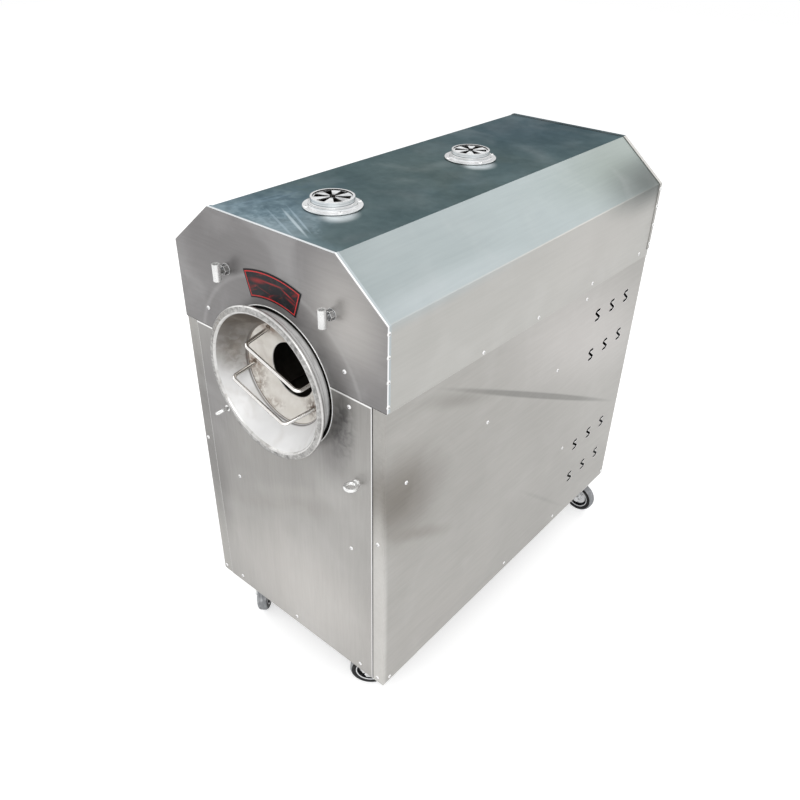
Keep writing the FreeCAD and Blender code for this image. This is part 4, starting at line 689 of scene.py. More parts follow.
# The front panel: its patches are painted reflections, with painted shade right of and below the mouth;
# its zones are painted highlights along its top edge and both side edges
FRONT_STEEL = RolledSheet(
    name="front_steel",
    tint=seen(148, 146, 143),
    grain=(1.0, 1.0, 0.07),
    marks=(
        FRONT_PLATE.patch((40, 130), (0.5, 0.38), seen(189, 186, 182), 0.97, -12),
        FRONT_PLATE.patch((240, 480), (0.2, 0.34), seen(170, 168, 165), 0.85),
        FRONT_PLATE.patch((-250, 560), (0.14, 0.3), seen(128, 126, 126), 0.9),
        FRONT_PLATE.patch((-180, 420), (0.16, 0.3), seen(146, 144, 141), 0.6),
        FRONT_PLATE.patch((-262, 330), (0.06, 0.24), seen(118, 116, 114), 0.9),
        FRONT_PLATE.patch((-20, 392), (0.33, 0.035), seen(150, 147, 142), 0.5, -24),
        FRONT_PLATE.patch((60, 470), (0.3, 0.03), seen(166, 163, 159), 0.35, -24),
        FRONT_PLATE.patch((180, 710), (0.05, 0.11), seen(104, 103, 102), 0.85, 12),
        FRONT_PLATE.patch((180, 700), (0.055, 0.12), seen(56, 55, 55), 0.8, 12, broken=60.0),
        FRONT_PLATE.patch((150, 640), (0.09, 0.12), seen(112, 110, 109), 0.7, 12),
        FRONT_PLATE.patch((235, 740), (0.06, 0.06), seen(150, 148, 145), 0.5),
        Zone(SEAM - 0.0036, seen(242, 242, 241)),
        Zone(PANEL_EDGE - 0.0022, seen(232, 231, 230), axis=Axis.X),
        Zone(-1.0, seen(220, 219, 218), 0.0012 - PANEL_EDGE, Axis.X),
    ),
)
# The side panels: their patches are painted reflections, with a thin painted shadow line across them,
# the left front flange darker and the right one lighter; their zones are painted shade in the seams
# beside the front panel
SIDE_STEEL = RolledSheet(
    name="side_steel",
    tint=seen(165, 163, 159),
    grain=(1.0, 0.07, 1.0),
    marks=(
        SIDE_PLATE.patch((800, 640), (0.55, 0.22), seen(189, 186, 183), 0.95, -22),
        SIDE_PLATE.patch((1000, 90), (0.5, 0.12), seen(158, 156, 152), 0.8, -10),
        SIDE_PLATE.patch((50, 560), (0.24, 0.16), seen(118, 113, 106), 0.95, -24),
        SIDE_PLATE.patch((110, 420), (0.2, 0.028), seen(142, 138, 132), 0.8, -30),
        SIDE_PLATE.patch((615, 537), (0.56, 0.011), seen(124, 123, 119), 0.85, -27.5, edge=0.5),
        SIDE_PLATE.patch((230, 712), (0.2, 0.03), seen(138, 136, 131), 0.7, -22),
        SIDE_PLATE.patch((700, 140), (0.26, 0.01), seen(150, 148, 144), 0.7, -40),
        SIDE_PLATE.patch((160, 60), (0.3, 0.2), seen(168, 165, 161), 0.6),
        Patch((-0.28, FRONT, 0.6), (0.05, 0.06, 0.4), seen(124, 122, 120), 0.92, edge=0.3),
        Patch((0.28, FRONT, 0.3), (0.04, 0.02, 0.5), seen(196, 194, 190), 0.95, edge=0.4),
        Zone(PANEL_EDGE - 0.001, seen(66, 64, 64), PANEL_EDGE + 0.0022, Axis.X),
        Zone(-PANEL_EDGE - 0.0022, seen(66, 64, 64), 0.001 - PANEL_EDGE, Axis.X),
    ),
)
# The rear sheets: a lighter patch low down and a darker one high up are painted reflections, and the
# zone is painted shade in the seam
REAR_STEEL = RolledSheet(
    name="rear_steel",
    tint=seen(172, 170, 166),
    grain=(1.0, 1.0, 0.07),
    marks=(
        Patch((0.05, REAR, 0.36), (0.4, 0.05, 0.28), seen(190, 187, 183), 0.8, 15, Axis.Y),
        Patch((-0.2, REAR, 0.95), (0.25, 0.05, 0.2), seen(154, 152, 150), 0.7),
        Zone(SEAM - 0.002, seen(90, 88, 88), SEAM + 0.002),
    ),
)
INNER_STEEL = RolledSheet(name="inner_steel", tint=seen(84, 82, 80), metallic=0.3, roughness=0.6)
# Painted shade: near black on the sheets' inner faces and the walls of the side slots, where the
# cabinet's inside lies in shade
INNER_SHADE = Machined(
    name="inner_shade",
    tint=seen(16, 16, 16),
    metallic=0.2,
    roughness=0.7,
    gleam=(0.3, 0.3, 0.3, 1.0),
)
# Painted highlight: a bright tone on the rounded edges of the sheets and fittings, and on the bead round
# the mouth's opening
EDGE_STEEL = Machined(
    name="edge_steel",
    tint=seen(226, 226, 225),
    metallic=0.5,
    roughness=0.3,
    stained=0.05,
)
FRAME_STEEL = Machined(
    name="frame_steel",
    tint=seen(112, 114, 116),
    metallic=0.3,
    roughness=0.55,
    stain=seen(90, 80, 70),
    scale=30.0,
)

# Finishes of the drum and the chamber
BURNT = seen(112, 76, 50)
DIM: Colour = (0.35, 0.35, 0.36, 1.0)
# The colour of painted shade: near black in the gap round the mouth, in the vents' wells and at the
# fronts of the drum and chamber
HOLLOW_SHADE = seen(26, 25, 24)
STAR: Pair = (70.0, -57.0)
# The funnel's cone: the patches and zone are painted shade, darker and browner towards the top and upper
# left, the ring is painted shade in the groove at the step, and the burnt patches are heat marks
CAST_MOUTH = Machined(
    name="cast_mouth",
    tint=seen(230, 230, 230),
    metallic=0.25,
    roughness=0.5,
    stain=seen(196, 190, 182),
    stained=0.25,
    mottle=0.08,
    scale=16.0,
    relief=0.04,
    marks=(
        Patch((-0.15, FRONT, 0.9), (0.08, 0.06, 0.09), seen(150, 144, 136), 0.8),
        Zone(0.9, seen(70, 61, 50), blend=0.11),
        Patch((-0.14, FRONT, 0.93), (0.1, 0.06, 0.12), seen(84, 72, 58), 0.55, broken=70.0),
        Patch((-0.1, FRONT, 1.0), (0.1, 0.06, 0.04), seen(90, 78, 64), 0.6, broken=160.0),
        Ring((0.0, 0.0, DRUM_AXIS), 0.117, 0.0024, seen(70, 62, 56), 0.8),
        CONE_PLATE.patch((-103, -12), (0.028, 0.028), BURNT, 0.8, broken=90.0),
        CONE_PLATE.patch((-46, 94), (0.028, 0.028), BURNT, 0.8, broken=90.0),
    ),
)
# The funnel's outer neck: the ring is a painted shade line and the zone painted shade towards the back,
# where the neck runs in under the front
CAST_NECK = Machined(
    name="cast_neck",
    tint=seen(253, 253, 252),
    metallic=0.0,
    roughness=0.45,
    stain=seen(120, 118, 116),
    stained=0.3,
    mottle=0.2,
    scale=22.0,
    relief=0.15,
    marks=(
        Ring((0.0, 0.0, DRUM_AXIS), 0.161, 0.0008, seen(70, 70, 70), 0.8),
        Zone(FRONT - 0.004, seen(150, 149, 148), axis=Axis.Y, blend=0.004),
    ),
)
# The cast lip: the dark pits and stains are the casting's own; the outline is painted shade at glancing
# edges, and the patch painted shade at the upper left, broken by specks
CAST_LIP = Machined(
    name="cast_lip",
    tint=seen(172, 171, 169),
    metallic=0.6,
    roughness=0.4,
    stain=seen(66, 64, 62),
    stained=0.55,
    mottle=0.5,
    scale=60.0,
    relief=0.7,
    pitted=0.9,
    outline=0.6,
    marks=(
        Patch((-0.12, FRONT - 0.04, 0.97), (0.09, 0.05, 0.12), seen(120, 114, 106), 0.8, broken=120.0),
    ),
)
# Painted highlight: a lighter tone on the rounded edges of the lip and the feed cone, with painted shade
# at glancing edges
LIP_EDGE = Machined(
    name="lip_edge",
    tint=seen(208, 207, 205),
    metallic=0.6,
    roughness=0.3,
    stained=0.5,
    scale=40.0,
    outline=0.5,
)
# Painted shade: the dark gap behind the mouth's neck and the vents' wells
MOUTH_GAP = Machined(
    name="mouth_gap",
    tint=HOLLOW_SHADE,
    metallic=0.1,
    roughness=0.8,
    gleam=HOLLOW_SHADE,
)
# The feed cone: the patch near the top is painted shade; the others are stains, burn marks and the
# weld's heat stain
FEED_STEEL = Machined(
    name="feed_steel",
    tint=seen(222, 218, 211),
    metallic=0.35,
    roughness=0.4,
    stain=seen(150, 134, 118),
    stained=0.35,
    scale=18.0,
    relief=0.05,
    marks=(
        Patch((0.0, FRONT + 0.03, 0.97), (0.12, 0.06, 0.05), seen(160, 150, 140), 0.7),
        CONE_PLATE.patch((-92, -59), (0.034, 0.075), seen(128, 112, 98), 0.8, broken=110.0),
        CONE_PLATE.patch((-50, -94), (0.05, 0.02), seen(146, 130, 116), 0.7, broken=110.0),
        CONE_PLATE.patch((-103, -12), (0.03, 0.03), BURNT, 0.9, broken=90.0),
        CONE_PLATE.patch((-46, 94), (0.03, 0.03), BURNT, 0.9, broken=90.0),
        CONE_PLATE.patch(STAR, (0.05, 0.036), seen(84, 58, 36), 1.0, broken=120.0),
        CONE_PLATE.patch(STAR, (0.034, 0.004), seen(76, 54, 36), 0.9, -30),
        CONE_PLATE.patch(STAR, (0.03, 0.0035), seen(76, 54, 36), 0.85, 42),
        CONE_PLATE.patch(STAR, (0.003, 0.024), seen(84, 60, 40), 0.8, 8),
        CONE_PLATE.patch((106, 35), (0.03, 0.03), BURNT, 0.8, broken=90.0),
    ),
)
WELD = Machined(
    name="weld_bead",
    tint=seen(124, 112, 100),
    roughness=0.45,
    stained=0.5,
    relief=0.6,
    scale=90.0,
)
# The drum: its zone is painted shade, near black at its front end, towards the mouth
DRUM_STEEL = Machined(
    name="drum_steel",
    tint=seen(110, 104, 98),
    roughness=0.5,
    stain=seen(70, 58, 48),
    stained=0.5,
    scale=18.0,
    marks=(Zone(-1.0, HOLLOW_SHADE, FRONT + 0.06, Axis.Y),),
)
ROD_STEEL = Machined(
    name="rod_steel",
    tint=seen(240, 238, 235),
    metallic=0.95,
    roughness=0.2,
    gleam=(0.1, 0.1, 0.1, 1.0),
    stain=seen(170, 150, 128),
    stained=0.15,
    mottle=0.08,
    # Painted shade at the rods' glancing edges
    outline=0.9,
)
# The chamber: its zone is painted shade, near black at its front end, towards the mouth
CHAMBER_STEEL = Machined(
    name="chamber_steel",
    tint=seen(92, 88, 84),
    roughness=0.5,
    stain=seen(60, 52, 46),
    stained=0.5,
    scale=14.0,
    marks=(Zone(-1.0, HOLLOW_SHADE, FRONT + 0.06, Axis.Y),),
)
INSULATION = Moulded(
    name="insulation",
    tint=seen(216, 211, 196),
    roughness=0.95,
    scale=260.0,
    relief=0.9,
)
SHEATH = Machined(
    name="element_sheath",
    tint=seen(84, 78, 76),
    roughness=0.5,
    stain=seen(60, 46, 40),
)

# Finishes of the fittings
BRIGHT = Machined(
    name="bright_fittings",
    tint=seen(238, 238, 237),
    metallic=0.65,
    roughness=0.2,
    stained=0.06,
    mottle=0.08,
    # Painted shade at glancing edges
    outline=0.5,
)
# The vents' spinnings: the zones are painted shade lines at the collar's steps, the patch painted shade
# on the front vent's left, and the outline painted shade at glancing edges
VENT_STEEL = Machined(
    name="vent_spinning",
    tint=seen(246, 247, 248),
    metallic=0.4,
    roughness=0.34,
    stained=0.0,
    mottle=0.02,
    outline=0.55,
    marks=(
        Zone(ROOF + 0.0064, seen(176, 180, 182), ROOF + 0.0078),
        Zone(ROOF + 0.0102, seen(150, 154, 156), ROOF + 0.0116),
        Zone(ROOF + 0.0146, seen(206, 209, 211), ROOF + 0.0158),
        Patch((-0.058, FRONT + 0.17, ROOF), (0.008, 0.014, 0.006), seen(40, 42, 44), 0.95),
    ),
)
SCREW_STEEL = Machined(
    name="screw_steel",
    tint=seen(252, 252, 252),
    metallic=0.2,
    roughness=0.3,
    stained=0.0,
)
# The tool sockets: the patch is painted shade that greys the right-hand socket, and the outline painted
# shade at glancing edges
SOCKET_STEEL = Machined(
    name="socket_steel",
    tint=seen(232, 232, 231),
    metallic=0.5,
    roughness=0.24,
    stained=0.1,
    mottle=0.15,
    outline=0.9,
    marks=(Patch((0.16, FRONT, 0.98), (0.08, 0.12, 0.14), seen(158, 159, 160), 1.0),),
)
FORK_STEEL = Machined(
    name="fork_steel",
    tint=seen(238, 239, 240),
    metallic=0.5,
    roughness=0.22,
    stain=seen(60, 62, 64),
    stained=0.35,
    scale=60.0,
    # Painted shade at the forks' glancing edges
    outline=0.9,
)
ZINC = Machined(
    name="zinc_fittings",
    tint=seen(212, 212, 209),
    metallic=0.6,
    roughness=0.3,
    stained=0.1,
    scale=90.0,
)
# Painted shade: darker grey in the screws' cross recesses, and dark on the petals' rounded edges
RECESS = Machined(name="screw_recess", tint=seen(92, 92, 92), roughness=0.4)
DARK_EDGE = Machined(name="dark_edge", tint=seen(52, 54, 56), metallic=0.5, roughness=0.4)
# The petals: the patch is painted shade, darker on the front vent's left-hand petals
PETAL = Machined(
    name="vent_petal",
    tint=seen(234, 236, 237),
    roughness=0.22,
    stain=seen(70, 72, 74),
    stained=0.5,
    mottle=0.3,
    scale=24.0,
    marks=(Patch((-0.03, FRONT + 0.17, ROOF), (0.034, 0.04, 0.05), seen(84, 86, 88), 0.9, broken=60.0),),
)
NUT_STEEL = Machined(
    name="nut_steel",
    tint=seen(150, 151, 152),
    roughness=0.26,
    stained=0.5,
    mottle=0.5,
    # Painted shade at the nuts' glancing edges
    outline=0.8,
)
BADGE = Moulded(name="badge_black", tint=seen(12, 12, 15), roughness=0.5, gleam=(0.25, 0.25, 0.27, 1.0))
BADGE_FIELD = Swirled(
    name="badge_field",
    tint=seen(14, 14, 18),
    roughness=0.45,
    gleam=(0.3, 0.3, 0.33, 1.0),
    marks=(
        BADGE_PLATE.patch((-36, 8), (0.034, 0.0085), seen(150, 36, 36), 0.85, -8),
        BADGE_PLATE.patch((6, 13), (0.05, 0.003), seen(186, 52, 50), 0.7, -2),
        BADGE_PLATE.patch((50, 4), (0.034, 0.0028), seen(186, 52, 50), 0.75, 24),
        BADGE_PLATE.patch((60, -8), (0.026, 0.0045), seen(130, 30, 32), 0.8, 20),
        BADGE_PLATE.patch((-20, -8), (0.04, 0.0022), seen(104, 24, 28), 0.8, 10),
    ),
    band=seen(112, 24, 26),
    glow=seen(176, 62, 58),
)
BADGE_RED = Moulded(name="badge_red", tint=seen(206, 48, 48), roughness=0.4, gleam=(0.4, 0.4, 0.4, 1.0))
GEAR_CASTING = Machined(name="gear_casting", tint=seen(150, 154, 156), roughness=0.5, relief=0.4)
MOTOR_PAINT = Moulded(name="motor_paint", tint=seen(66, 92, 124), roughness=0.4, scale=240.0, coat=0.2)
PULLEY_IRON = Machined(name="pulley_iron", tint=seen(124, 124, 126), roughness=0.42, stained=0.3)
BELT_RUBBER = Moulded(name="belt_rubber", tint=seen(26, 26, 27), roughness=0.7, gleam=DIM)
BOX_PLASTIC = Moulded(name="box_plastic", tint=seen(168, 170, 170), roughness=0.5)
BLACK_PLASTIC = Moulded(name="black_plastic", tint=seen(26, 27, 29), roughness=0.42, gleam=DIM)
DIAL_WHITE = Moulded(name="dial_white", tint=seen(226, 226, 222), roughness=0.5)
BUTTON_GREEN = Moulded(name="button_green", tint=seen(38, 140, 66), roughness=0.3, coat=0.3)
BUTTON_RED = Moulded(name="button_red", tint=seen(188, 34, 30), roughness=0.3, coat=0.3)
LAMP_LENS = Moulded(name="lamp_lens", tint=seen(226, 140, 44), roughness=0.2, coat=0.6)
TYRE = Moulded(name="tyre_black", tint=seen(18, 18, 20), roughness=0.55, gleam=DIM, dusty=0.08)
TREAD = Moulded(
    name="tyre_tread",
    tint=seen(150, 152, 155),
    roughness=0.6,
    dust=seen(226, 227, 228),
    dusty=0.9,
    scale=400.0,
)
HUB = Moulded(name="hub_grey", tint=seen(240, 241, 243), roughness=0.3)

NODE_FINISHES: dict[Finish, tuple[str, ...]] = {
    INNER_STEEL: ("bulkhead",),
    FRAME_STEEL: ("frame_posts", "frame_rails"),
    DRUM_STEEL: ("drum_shell", "drum_flights", "drum_rear_plate"),
    ROD_STEEL: ("mouth_rods",),
    CHAMBER_STEEL: ("chamber_shell", "heater_brackets"),
    INSULATION: ("chamber_insulation",),
    SHEATH: ("heating_elements",),
    BRIGHT: ("drum_shaft", "roller_left", "roller_right"),
    ZINC: ("roller_carrier",),
    PULLEY_IRON: ("drum_pulley", "motor_pulley", "rear_bearing"),
    BELT_RUBBER: ("drive_belt",),
    MOTOR_PAINT: ("motor",),
}


# ---------------------------------------------------------------------------------------------------
# Forms
# ---------------------------------------------------------------------------------------------------


class Form:
    """A mesh in the making, shaped by operators and then handed over as a piece."""

    def __init__(self) -> None:
        """Starts with an empty mesh."""
        self.mesh: BMesh = bmesh.new()
        self.copied = False

    @classmethod
    def of_node(cls, name: str) -> "Form":
        """Returns a merged copy of a solid, with its flat faces whole."""
        form = cls()
        form.copied = True
        mesh = form.mesh
        mesh.from_mesh(frame["nodes"][name].data)
        bmesh.ops.remove_doubles(mesh, verts=mesh.verts, dist=MERGED)
        joined = math.radians(JOINED_ANGLE)
        bmesh.ops.dissolve_limit(mesh, angle_limit=joined, verts=mesh.verts, edges=mesh.edges)
        mesh.normal_update()
        return form

    def turned(
        self,
        outline: Outline,
        centre: Vector,
        along: Vector,
        steps: int,
        closed: bool = True,
    ) -> "Form":
        """Spins an outline about an axis.

        Args:
            outline: Its points, each a radius and a distance along the axis.
            centre: Where the distances start.
            along: The axis.
            steps: How many faces go round.
            closed: Whether its last point joins its first, as in a ring.

        Returns:
            The form itself.
        """
        axis = along.normalized()
        side = axis.orthogonal().normalized()
        verts = [self.mesh.verts.new(centre + side * radius + axis * ahead) for radius, ahead in outline]
        ends = verts[1:] + verts[:1] if closed else verts[1:]
        edges = [self.mesh.edges.new(pair) for pair in zip(verts, ends)]
        bmesh.ops.spin(
            self.mesh,
            geom=verts + edges,
            cent=centre,
            axis=axis,
            dvec=Vector(),
            angle=math.tau,
            space=Matrix(),
            steps=steps,
            use_merge=True,
            use_normal_flip=False,
            use_duplicate=False,
        )
        bmesh.ops.remove_doubles(self.mesh, verts=self.mesh.verts, dist=MERGED)
        return self

    def rod(self, start: Vector, end: Vector, radius: float, sides: int, index: int = 0) -> None:
        """Adds a closed round or many-sided bar, with a material by its place in the list."""
        span = end - start
        place = Matrix.Translation((start + end) / 2) @ span.to_track_quat("Z", "Y").to_matrix().to_4x4()
        made = bmesh.ops.create_cone(
            self.mesh,
            cap_ends=True,
            segments=sides,
            radius1=radius,
            radius2=radius,
            depth=span.length,
            matrix=place,
        )
        self.paint(made["verts"], index)

    def block(self, centre: Vector, size: Vector, turn: Matrix | None = None, index: int = 0) -> None:
        """Adds a block of a size, turned about its centre, with a material by its place in the list."""
        place = Matrix.Translation(centre) @ (turn or Matrix()) @ Matrix.Diagonal((*size, 1.0))
        made = bmesh.ops.create_cube(self.mesh, size=1.0, matrix=place)
        self.paint(made["verts"], index)

    def paint(self, verts: Sequence[BMVert], index: int) -> None:
        """Gives the faces between some vertices a material by its place in the list."""
        chosen = set(verts)
        for face in {face for vert in verts for face in vert.link_faces}:
            if all(vert in chosen for vert in face.verts):
                face.material_index = index

    def paint_where(self, test: Callable[[BMFace], bool], index: int) -> "Form":
        """Gives the faces that pass a test a material by its place in the list."""
        for face in self.mesh.faces:
            if test(face):
                face.material_index = index
        return self

    def soften(
        self,
        width: float,
        segments: int = 2,
        angle: float = 60.0,
        painted_edge: int | None = None,
        where: Callable[[BMEdge], bool] | None = None,
    ) -> "Form":
        """Rounds the sharp edges.

        Args:
            width: How far each side of an edge is taken off.
            segments: How many faces go round it.
            angle: The least angle of an edge, in degrees.
            painted_edge: The material of the new faces, by its place in the list, which paints a
                highlight or shade on the rounded edge.
            where: A test that an edge has to pass.

        Returns:
            The form itself.
        """
        least = math.radians(angle)
        edges = [
            edge
            for edge in self.mesh.edges
            if edge.is_manifold and edge.calc_face_angle(0.0) > least and (where is None or where(edge))
        ]
        made = bmesh.ops.bevel(
            self.mesh,
            geom=edges,
            offset=width,
            offset_type="OFFSET",
            segments=segments,
            profile=0.5,
            affect="EDGES",
            clamp_overlap=False,
            material=-1,
        )
        # The rounded faces take the material of their painted highlight or shade
        if painted_edge is not None:
            for face in made["faces"]:
                face.material_index = painted_edge
        return self

    def piece(
        self,
        name: str,
        finishes: Sequence[Finish],
        body: str,
        slot: str,
        *stands_for: str,
    ) -> None:
        """Hands the form over as a piece.

        Args:
            name: The piece's name.
            finishes: Its finishes, in the order of the material places.
            body: The body that it rides on.
            slot: The name of a material slot; not used.
            stands_for: The solids that it replaces.
        """
        if not self.copied:
            bmesh.ops.recalc_face_normals(self.mesh, faces=self.mesh.faces)
        data = bpy.data.meshes.new(name)
        self.mesh.to_mesh(data)
        self.mesh.free()
        for finish in finishes:
            data.materials.append(finish.made())
        data.shade_smooth()
        data.set_sharp_from_angle(angle=math.radians(SHARP_ANGLE))
        item = bpy.data.objects.new(name, data)
        bpy.context.scene.collection.objects.link(item)
        item.modifiers.new("normals", "WEIGHTED_NORMAL").keep_sharp = True
        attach(item, body)
        if stands_for:
            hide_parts(*stands_for)
        log.info("%s rides on %s, %d faces", name, body, len(data.polygons))


def islands(mesh: BMesh) -> list[list[BMVert]]:
    """Returns the vertices of a mesh, one list for each of its separate parts."""
    found: list[list[BMVert]] = []
    known: set[BMVert] = set()
    for first in mesh.verts:
        if first in known:
            continue
        known.add(first)
        group = [first]
        for vert in group:
            for edge in vert.link_edges:
                other = edge.other_vert(vert)
                if other not in known:
                    known.add(other)
                    group.append(other)
        found.append(group)
    return found


def round_section(middle: float, ahead: float, radius: float, steps: int) -> list[Pair]:
    """Returns the outline of a round bead or wire.

    Args:
        middle: How far its middle is from the axis that it is spun about.
        ahead: How far its middle is along that axis.
        radius: Its own radius.
        steps: How many points it has.

    Returns:
        Its points, each a radius and a distance along the axis.
    """
    turns = (math.tau * share / steps for share in range(steps))
    return [(middle + radius * math.cos(turn), ahead + radius * math.sin(turn)) for turn in turns]


def joint_of(name: str) -> tuple[Vector, Vector]:
    """Returns where a joint is and which way its axis points."""
    joint = next(joint for joint in frame["joints"] if joint["name"] == name)
    return Vector(joint["pos_m"]), Vector(joint["axis"]).normalized()


# ---------------------------------------------------------------------------------------------------
# Sub-assemblies
# ---------------------------------------------------------------------------------------------------


@dataclass
class Casing:
    """The sheets of the cabinet, with a painted highlight on their rounded cut edges, painted shade
    inside them and in the side slots, and the screws that hold them.
    """

    edge: float = 0.45 * MM
    border: float = 20.0 * MM
    gauge_limit: float = 2.6 * MM
    head_radius: float = 4.75 * MM
    head_height: float = 2.5 * MM
    shank_radius: float = 2.0 * MM
    shank_length: float = 8.0 * MM
    cross: Triple = (4.6 * MM, 0.9 * MM, 0.5 * MM)
    cross_sink: float = 0.2 * MM
    facets: int = 14
    dome: Outline = ((0.0, 1.0), (0.4, 0.98), (0.72, 0.84), (0.93, 0.5), (1.0, 0.12), (1.0, 0.0))
    # How much wider the sides' rounded cut edges are, so that their painted highlight shows round the
    # slots
    side_sheen_factor: float = 2.0
    squarely: float = 0.95
    edge_on: float = 0.3
    roof_skin: float = 2.0 * MM
    skin: float = 4.0 * MM
    level: float = 0.1 * MM

    def build(self) -> None:
        """Builds the sheets and the screws."""
        sheets = {
            "hood_skin": (HOOD_STEEL, "hood_steel"),
            "hood_front_plate": (HOOD_FACE, "casing_steel"),
            "hood_rear_plate": (REAR_STEEL, "casing_steel"),
            "front_panel": (FRONT_STEEL, "casing_steel"),
            "rear_panel": (REAR_STEEL, "casing_steel"),
            "side_panel_right": (SIDE_STEEL, "casing_steel"),
            "side_panel_left": (SIDE_STEEL, "casing_steel"),
        }
        for node, (finish, slot) in sheets.items():
            form = Form.of_node(node)
            # Index 2 takes the roof's painted reflections, index 3 the painted shade inside the cabinet
            # and in the side slots
            form.paint_where(self.faces_up, 2)
            form.paint_where(self.faces_in, 3)
            form.paint_where(self.slot_wall, 3)
            # The rounded cut edges take the painted highlight, wider on the sides
            width = self.edge * (self.side_sheen_factor if node.startswith("side") else 1.0)
            form.soften(width, painted_edge=1, where=self.cut_edge)
            finishes = (finish, EDGE_STEEL, ROOF_STEEL, INNER_SHADE)
            form.piece(f"{node}_sheet", finishes, "cabinet", slot, node)
        self.screws()

    def faces_up(self, face: BMFace) -> bool:
        """Tells the top of the roof."""
        return face.normal.z > self.squarely and face.calc_center_median().z > ROOF - self.roof_skin

    def faces_in(self, face: BMFace) -> bool:
        """Tells the faces towards the inside of the cabinet."""
        spot = face.calc_center_median()
        inward = -face.normal.x * math.copysign(1.0, spot.x)
        in_side = inward > self.squarely and abs(spot.x) > SIDE - self.skin
        in_rear = face.normal.y < -self.squarely and spot.y > REAR - self.skin
        return in_side or in_rear

    def slot_wall(self, face: BMFace) -> bool:
        """Tells the walls of the slots in the sides, which lie clear of the panels' borders."""
        spot = face.calc_center_median()
        clear_along = FRONT + self.border < spot.y < REAR - self.border
        clear_up = LOWER_EDGE + self.border < spot.z < SEAM - self.border
        in_skin = abs(spot.x) > SIDE - self.skin and abs(face.normal.x) < self.edge_on
        return clear_along and clear_up and in_skin

    def cut_edge(self, edge: BMEdge) -> bool:
        """Tells the cut edges of the sheet from its bends, by the narrow face beside them."""
        narrow = min(face.calc_area() for face in edge.link_faces)
        return narrow < edge.calc_length() * self.gauge_limit

    def screws(self) -> None:
        """Builds a domed head with a cross recess at each screw of the solids."""
        found = Form.of_node("panel_screws")
        form = Form()
        for group in islands(found.mesh):
            seat, out = self.seat(group)
            self.screw(form, seat, out)
        found.mesh.free()
        finishes = (SCREW_STEEL, RECESS)
        form.piece("cross_head_screws", finishes, "cabinet", "bright_fittings", "panel_screws")

    def seat(self, group: Sequence[BMVert]) -> tuple[Vector, Vector]:
        """Finds where a screw's head sits and which way it points.

        Args:
            group: The screw's vertices.

        Returns:
            The middle of the head's seat and the direction out of the sheet.
        """
        low = Vector([min(vert.co[place] for vert in group) for place in range(3)])
        high = Vector([max(vert.co[place] for vert in group) for place in range(3)])
        size, middle = high - low, (high + low) / 2
        along = max(Axis, key=lambda axis: size[axis.value])
        spread = {}
        for level in (low, high):
            end = level[along.value]
            at_end = [vert.co for vert in group if abs(vert.co[along.value] - end) < self.level]
            spread[end] = max((spot - middle).length for spot in at_end)
        top = max(spread, key=spread.get)
        out = along.vector(1.0 if top > middle[along.value] else -1.0)
        middle[along.value] = top
        return middle - out * self.head_height, out

    def screw(self, form: Form, seat: Vector, out: Vector) -> None:
        """Adds one screw to a form."""
        head = ((wide * self.head_radius, high * self.head_height) for wide, high in self.dome)
        outline = (
            *head,
            (self.shank_radius, 0.0),
            (self.shank_radius, -self.shank_length),
            (0.0, -self.shank_length),
        )
        part = Form()
        part.turned(outline, Vector(), Axis.Z.vector(), self.facets, closed=False)
        bmesh.ops.recalc_face_normals(part.mesh, faces=part.mesh.faces)
        recess = Axis.Z.vector(self.head_height - self.cross_sink)
        for turn in (45, 135):
            part.block(recess, Vector(self.cross), Matrix.Rotation(math.radians(turn), 4, "Z"), 1)
        place = Matrix.Translation(seat) @ out.to_track_quat("Z", "Y").to_matrix().to_4x4()
        bmesh.ops.transform(part.mesh, matrix=place, verts=part.mesh.verts)
        data = bpy.data.meshes.new("screw")
        part.mesh.to_mesh(data)
        part.mesh.free()
        form.mesh.from_mesh(data)
        bpy.data.meshes.remove(data)


@dataclass
class Vents:
    """The two roof vents: stepped flanges with a collar, and the petals that turn in them."""

    edge: float = 0.55 * MM
    well: float = 41.0 * MM
    places: tuple[str, ...] = ("front", "rear")

    def build(self) -> None:
        """Builds the collars, with painted shade in their wells, and the petals."""
        centres = [joint_of(f"damper_{place}_turn")[0] for place in self.places]

        def in_well(face: BMFace) -> bool:
            """Tells the inside of a vent."""
            return any(
                all((vert.co - centre).xy.length < self.well for vert in face.verts)
                for centre in centres
            )

        # The collars' rounded edges take a painted highlight and their wells painted shade
        collars = Form.of_node("vent_collars").soften(self.edge, angle=TURNED_ANGLE, painted_edge=1)
        collars.paint_where(in_well, 2)
        finishes = (VENT_STEEL, EDGE_STEEL, MOUTH_GAP)
        collars.piece("vent_spinnings", finishes, "cabinet", "hood_steel", "vent_collars")
        for place in self.places:
            node = f"vent_damper_{place}"
            # The petals' rounded edges take painted shade
            petals = Form.of_node(node).soften(self.edge, angle=TURNED_ANGLE, painted_edge=1)
            finishes = (PETAL, DARK_EDGE)
            petals.piece(f"vent_petals_{place}", finishes, f"damper_{place}", "hood_steel", node)


